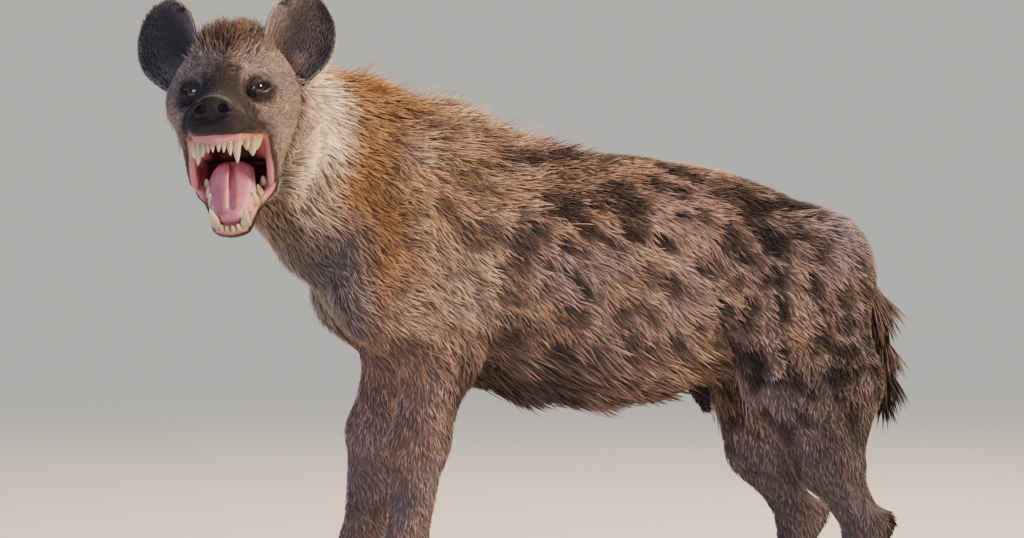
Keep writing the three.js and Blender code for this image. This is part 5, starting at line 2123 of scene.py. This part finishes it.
@dataclass
class Ear:
    """A round upright ear, curled at its root."""

    side: int
    root: tuple = (-38.0, 64.0, 50.0)
    lean: tuple = (-12.0, 44.0, 118.0)
    facing: tuple = (0.93, 0.36, 0.0)
    width: float = 60.0
    curl_root: float = 92.0
    curl_tip: float = 40.0
    rows: int = 26
    columns: int = 22

    def sheet(self) -> tuple[Array, Array]:
        """Points of the back and the front of the ear, row by row.

        Returns:
            Both sets of points.
        """
        mirror = np.array([1.0, self.side, 1.0])
        root, rise = np.array(self.root), np.array(self.lean)
        facing = np.array(self.facing)
        length = np.linalg.norm(rise)
        up = rise / length
        facing = unit(facing - up * (facing @ up))
        across = np.cross(up, facing)
        back, front = [], []
        for i in range(self.rows):
            t = 0.9995 * (1 - (1 - i / (self.rows - 1)) ** 1.6)
            if t < 0.4:
                wide = 0.62 + 0.38 * math.sin(t / 0.4 * math.pi / 2)
            else:
                wide = (1 - ((t - 0.4) / 0.6) ** 2) ** 0.55
            wide = wide * self.width
            phi = math.radians(self.curl_root - (self.curl_root - self.curl_tip) * min(1.3 * t, 1.0))
            for j in range(self.columns):
                s = 2 * j / (self.columns - 1) - 1
                thick = (2.4 + 3.4 * (1 - s * s) * (1 - 0.6 * t)) / 2
                out = facing * math.cos(s * phi) - across * math.sin(s * phi)
                place = root + rise * t + across * (wide * math.sin(s * phi) / phi)
                place = place + facing * (wide * (1 - math.cos(s * phi)) / phi - 10 - 8 * t * t)
                back.append((place - out * thick) * mirror)
                front.append((place + out * thick) * mirror)
        return HEAD.world(np.array(back)), HEAD.world(np.array(front))

    def rim(self) -> Array:
        """Quads round the edge of the plate, from its back to its front.

        Returns:
            The quads.
        """
        number = np.arange(self.rows * self.columns).reshape(self.rows, self.columns)
        a = np.concatenate([number[0], number[1:, -1], number[-1, -2::-1], number[-2:0:-1, 0]])
        b, n = np.roll(a, -1), number.size
        return np.stack([a, b, b + n, a + n], axis=1)

    def build(self, builder: Builder, coat: Coat, finish: Material, node_name: str, name: str) -> None:
        """Makes the ear's plate and its short hair.

        Args:
            builder: makes the objects.
            coat: grows the hair.
            finish: the skin of the ear.
            node_name: the solid that it stands for.
            name: left or right.
        """
        back, front = self.sheet()
        n, q, rim = len(back), grid_quads(self.rows, self.columns, False), self.rim()
        faces = [q[:, ::-1], q + n, rim] if self.side > 0 else [q, (q + n)[:, ::-1], rim[:, ::-1]]
        piece = builder.mesh(f"ear_plate_{name}", np.concatenate([back, front]), faces, finish, "dark_fur")
        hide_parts(node_name)
        top = np.repeat(np.arange(self.rows) >= self.rows - 5, self.columns)
        builder.paint(piece, "lock", np.concatenate([np.ones(n), 0.6 * top]))
        self.dress(coat, back, False, f"coat_ear_back_{name}")
        self.dress(coat, front, True, f"coat_ear_inner_{name}")

    def dress(self, coat: Coat, points: Array, inner: bool, name: str) -> None:
        """Grows short hair on the back or the inner face of the plate.

        Args:
            coat: grows the hair.
            points: the points of the face, row by row.
            inner: whether it is the inner face, which has long hair along its edge and root.
            name: name of the piece.
        """
        up = HEAD.way(np.array(self.lean) * np.array([1.0, self.side, 1.0]))
        grid = points.reshape(self.rows, self.columns, 3)
        normal = unit(np.cross(np.gradient(grid, axis=0), np.gradient(grid, axis=1)))
        normal = normal * self.side * (-1.0 if inner else 1.0)
        normal[-3:] = normal[-4]
        skin = Surface(points, grid_quads(self.rows, self.columns, False), normal.reshape(-1, 3))
        across = np.tile(np.linspace(-1, 1, self.columns), self.rows)
        along = np.repeat(np.linspace(0, 1, self.rows), self.columns)
        rim = ramp(0.86, 0.97, np.maximum(np.abs(across), along))
        tassel = np.maximum(ramp(0.1, -0.8, across) * ramp(0.92, 0.55, along), ramp(0.3, 0.05, along))
        if inner:
            weight = 0.2 + 0.15 * tassel + 0.35 * rim
            length = 7.5 + 11.0 * tassel * (1 - rim) - 3.8 * rim
        else:
            weight = 0.3 + 0.1 * rim
            length = 8.0 - 4.0 * rim
        p, n = coat.sample(skin, weight * (1.0))
        at = np.argmin(((p[:, None, :] - points[None]) ** 2).sum(axis=2), axis=1)
        tufts = coat.comb(p, n, length[at], np.full(len(p), 1.2), np.full(len(p), 1.6))
        across, along, rim, tassel = across[at], along[at], rim[at], tassel[at]
        way = unit(up) + coat.rng.normal(0, 0.16, (len(p), 3))
        if inner:
            sideways = HEAD.way(np.array([0.35, 1.0 * self.side, 0.15]))
            way = way + sideways * (1.3 * tassel * ramp(0.4, -0.3, across))[:, None]
        outward = unit(p - (points.mean(axis=0) - 0.2 * up))
        tufts.lie = flattened(unit(way + outward * (0.9 * rim)[:, None]), n)
        if inner:
            hollow = np.exp(-((across + 0.1) / 0.42) ** 2) * ramp(0.95, 0.5, along)
            dark = 0.54 * (1 - 0.8 * rim) + 0.34 * hollow - 0.3 * tassel * (1 - hollow)
            warm, pale = 0.04, 0.04 + 0.45 * rim + 0.12 * tassel
            tufts.tone = 0.68 * tufts.tone
        else:
            dark = 0.42 * (1 - 0.8 * rim)
            warm, pale = 0.3, 0.12 + 0.45 * rim
        none = np.zeros(len(p))
        tufts.marks = np.clip(np.stack([none, none + warm, dark, pale], axis=1), 0, 1)
        coat.grow(name, tufts, 2, 2)


@dataclass
class Whiskers:
    """Thin stiff hairs on the muzzle and over the eyes."""

    count: int = 15
    brow: int = 4

    def build(self, builder: Builder, coat: Coat) -> None:
        """Makes the whiskers of both sides.

        Args:
            builder: makes the objects.
            coat: grows the hair.
        """
        rng = np.random.default_rng(5)
        rows = []
        for side in (1, -1):
            for _ in range(self.count):
                f, u = rng.uniform(98, 146), rng.uniform(-15, 3)
                root = (f, side * (30 - 0.14 * (f - 98)), u)
                rows.append((root, (-0.45, side, rng.uniform(-0.7, 0.1)), rng.uniform(34, 56)))
            for i in range(self.brow):
                root = (58 - 4 * i, side * (40 + 3 * i), 66)
                rows.append((root, (0.3, side * 0.7, 0.8), rng.uniform(18, 28)))
        root, way, length = (np.array(part, float) for part in zip(*rows))
        way = unit(HEAD.way(way))
        normal = unit(np.cross(way, np.cross([0.0, 0.0, 1.0], way)))
        count = len(rows)
        width, lift, curl, tone = (np.full(count, v) for v in (0.7, 0.05, -0.5, 0.5))
        marks = np.tile([0.0, 0.1, 0.75, 0.0], (count, 1))
        tufts = Tufts(HEAD.world(root), normal, way, length, width, lift, curl, marks, tone)
        coat.grow("whiskers", tufts, 5, 0)


@dataclass(frozen=True)
class Lamp:
    """A soft square light that faces the animal."""

    name: str
    place: tuple
    size: float
    power: float
    tint: str

    def build(self) -> None:
        """Adds the light."""
        data = bpy.data.lights.new(self.name, "AREA")
        data.shape, data.size, data.energy = "SQUARE", self.size, self.power
        data.color = colour(self.tint)[:3]
        lamp = bpy.data.objects.new(self.name, data)
        lamp.location = self.place
        lamp.rotation_euler = (Vector(self.place) - Vector((0, 0, 0.5))).to_track_quat("Z", "Y").to_euler()
        bpy.context.scene.collection.objects.link(lamp)


@dataclass
class Studio:
    """Camera, lights and the pale floor."""

    target: tuple = (0.0, 0.0, 0.5605)
    azimuth: float = -12.0
    elevation: float = 3.0
    distance: float = 12.0
    lens: float = 303.75
    sky: str = "d5dde8"
    wall: str = "d3d1cc"
    floor: tuple = ("cfccc6", "d8d6d1")
    floor_radius: float = 7.0
    floor_drop: float = 0.0005
    floor_sides: int = 96
    lamps: tuple = (
        Lamp("key", (4.4, -2.4, 3.9), 1.3, 760.0, "ffe2bc"),
        Lamp("fill", (-4.2, -4.6, 2.2), 2.6, 170.0, "cfdcff"),
        Lamp("rim", (1.6, 4.0, 4.2), 1.8, 430.0, "ffe6c4"),
    )

    def camera(self, shift: Array) -> None:
        """Sets the camera where the viewer stands, moved by the frame's shift.

        Args:
            shift: where the animal's own axes lie in the frame.
        """
        a, e = math.radians(self.azimuth), math.radians(self.elevation)
        back = Vector((math.sin(a) * math.cos(e), -math.cos(a) * math.cos(e), math.sin(e)))
        data = bpy.data.cameras.new("viewer")
        data.lens, data.sensor_width, data.sensor_fit = self.lens, 36.0, "HORIZONTAL"
        data.clip_end = 100.0
        cam = bpy.data.objects.new("viewer", data)
        cam.location = Vector(self.target) + Vector(shift) + back * self.distance
        cam.rotation_euler = back.to_track_quat("Z", "Y").to_euler()
        bpy.context.scene.collection.objects.link(cam)
        bpy.context.scene.camera = cam

    def build(self) -> None:
        """Adds the lights, the light of the sky, a pale wall for the camera alone, and the floor."""
        for lamp in self.lamps:
            lamp.build()
        world = bpy.data.worlds.new("studio")
        world.use_nodes = True
        tree = world.node_tree
        sky = tree.nodes["Background"]
        feed(tree, sky, {"Color": colour(self.sky), "Strength": 0.3})
        wall = node(tree, "ShaderNodeBackground", {"Color": colour(self.wall), "Strength": 0.86})
        seen = node(tree, "ShaderNodeLightPath").outputs["Is Camera Ray"]
        both = node(tree, "ShaderNodeMixShader", {0: seen, 1: sky.outputs[0], 2: wall.outputs[0]})
        feed(tree, tree.nodes["World Output"], {"Surface": both.outputs[0]})
        bpy.context.scene.world = world
        self.lay_floor()

    def lay_floor(self) -> None:
        """Adds the floor, which fades out far from the animal."""
        angle = np.arange(self.floor_sides) * 2 * math.pi / self.floor_sides
        ring = np.stack([
            self.floor_radius * np.cos(angle), self.floor_radius * np.sin(angle), 0 * angle - self.floor_drop,
        ], axis=1)
        me = bpy.data.meshes.new("floor")
        me.from_pydata([tuple(v) for v in ring], [], [tuple(range(self.floor_sides))])
        made, tree, shader = material("floor")
        place = node(tree, "ShaderNodeTexCoord").outputs["Object"]
        cloud = node(tree, "ShaderNodeTexNoise", {"Vector": place, "Scale": 1.4, "Detail": 4.0}).outputs[0]
        away = node(tree, "ShaderNodeVectorMath", {0: place}, operation="LENGTH").outputs["Value"]
        fade = node(tree, "ShaderNodeMapRange", {
            "Value": away, "From Min": 1.5, "From Max": 6.5, "To Min": 1.0, "To Max": 0.0,
        }, interpolation_type="SMOOTHSTEP")
        feed(tree, shader, {
            "Base Color": mixed(tree, cloud, *[colour(c) for c in self.floor]),
            "Roughness": 0.85, "Alpha": fade.outputs[0],
        })
        me.materials.append(made)
        floor = bpy.data.objects.new("floor", me)
        bpy.context.scene.collection.objects.link(floor)


def main() -> None:
    """Builds the whole animal and its studio, in order."""
    logging.basicConfig(level=logging.INFO, format="%(message)s")
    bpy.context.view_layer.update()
    builder = Builder()
    studio = Studio()
    studio.camera(builder.shift)
    effects = Effects()
    pelt = Pelt()
    skins, bares = Hide().build(builder, pelt, HideFinish().build(effects))
    coat = Coat(builder, pelt, CoatFinish().build(effects))
    coat.dress_body(skins[0], bares[0])
    coat.dress_head(skins[1], bares[1])
    nose = SkinFinish("nose leather", "0a080a", "1d181b", rough=0.72, cells=520.0, wrinkle=120.0, bump=0.7)
    tongue = SkinFinish("tongue", "a8566a", "e09aa6", rough=0.27, cells=560.0, wrinkle=45.0, bump=0.45)
    inner_ear = SkinFinish(
        "ear skin", "120d0e", "322a2c", rough=0.8, cells=300.0, wrinkle=45.0, bump=0.3, behind="6e574b",
    )
    ivory = HornFinish("tooth", root="a07c4c", tip="ece2cb", rough=0.3)
    horn = HornFinish("claw", root="3a2f2a", tip="1b1614", rough=0.4)
    NosePad().build(builder, nose.build(effects))
    Tongue().build(builder, tongue.build(effects))
    Horns().build(builder, ivory.build(effects), horn.build(effects))
    Eyes().build(builder, EyeFinish().build(effects))
    skin_ear = inner_ear.build(effects)
    for name, side in (("left", 1), ("right", -1)):
        place = np.array(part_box("ear_left")).mean(axis=0) - builder.shift
        spot = HEAD.world(np.array([[-38.0, 64.0 * side, 90.0]]))[0] / 1000.0
        node_name = "ear_left" if np.linalg.norm(place - spot) < 0.07 else "ear_right"
        Ear(side).build(builder, coat, skin_ear, node_name, name)
    Whiskers().build(builder, coat)
    studio.build()
    LOG.info("coat: %d triangles", coat.triangles)


if __name__ == "__main__":
    main()
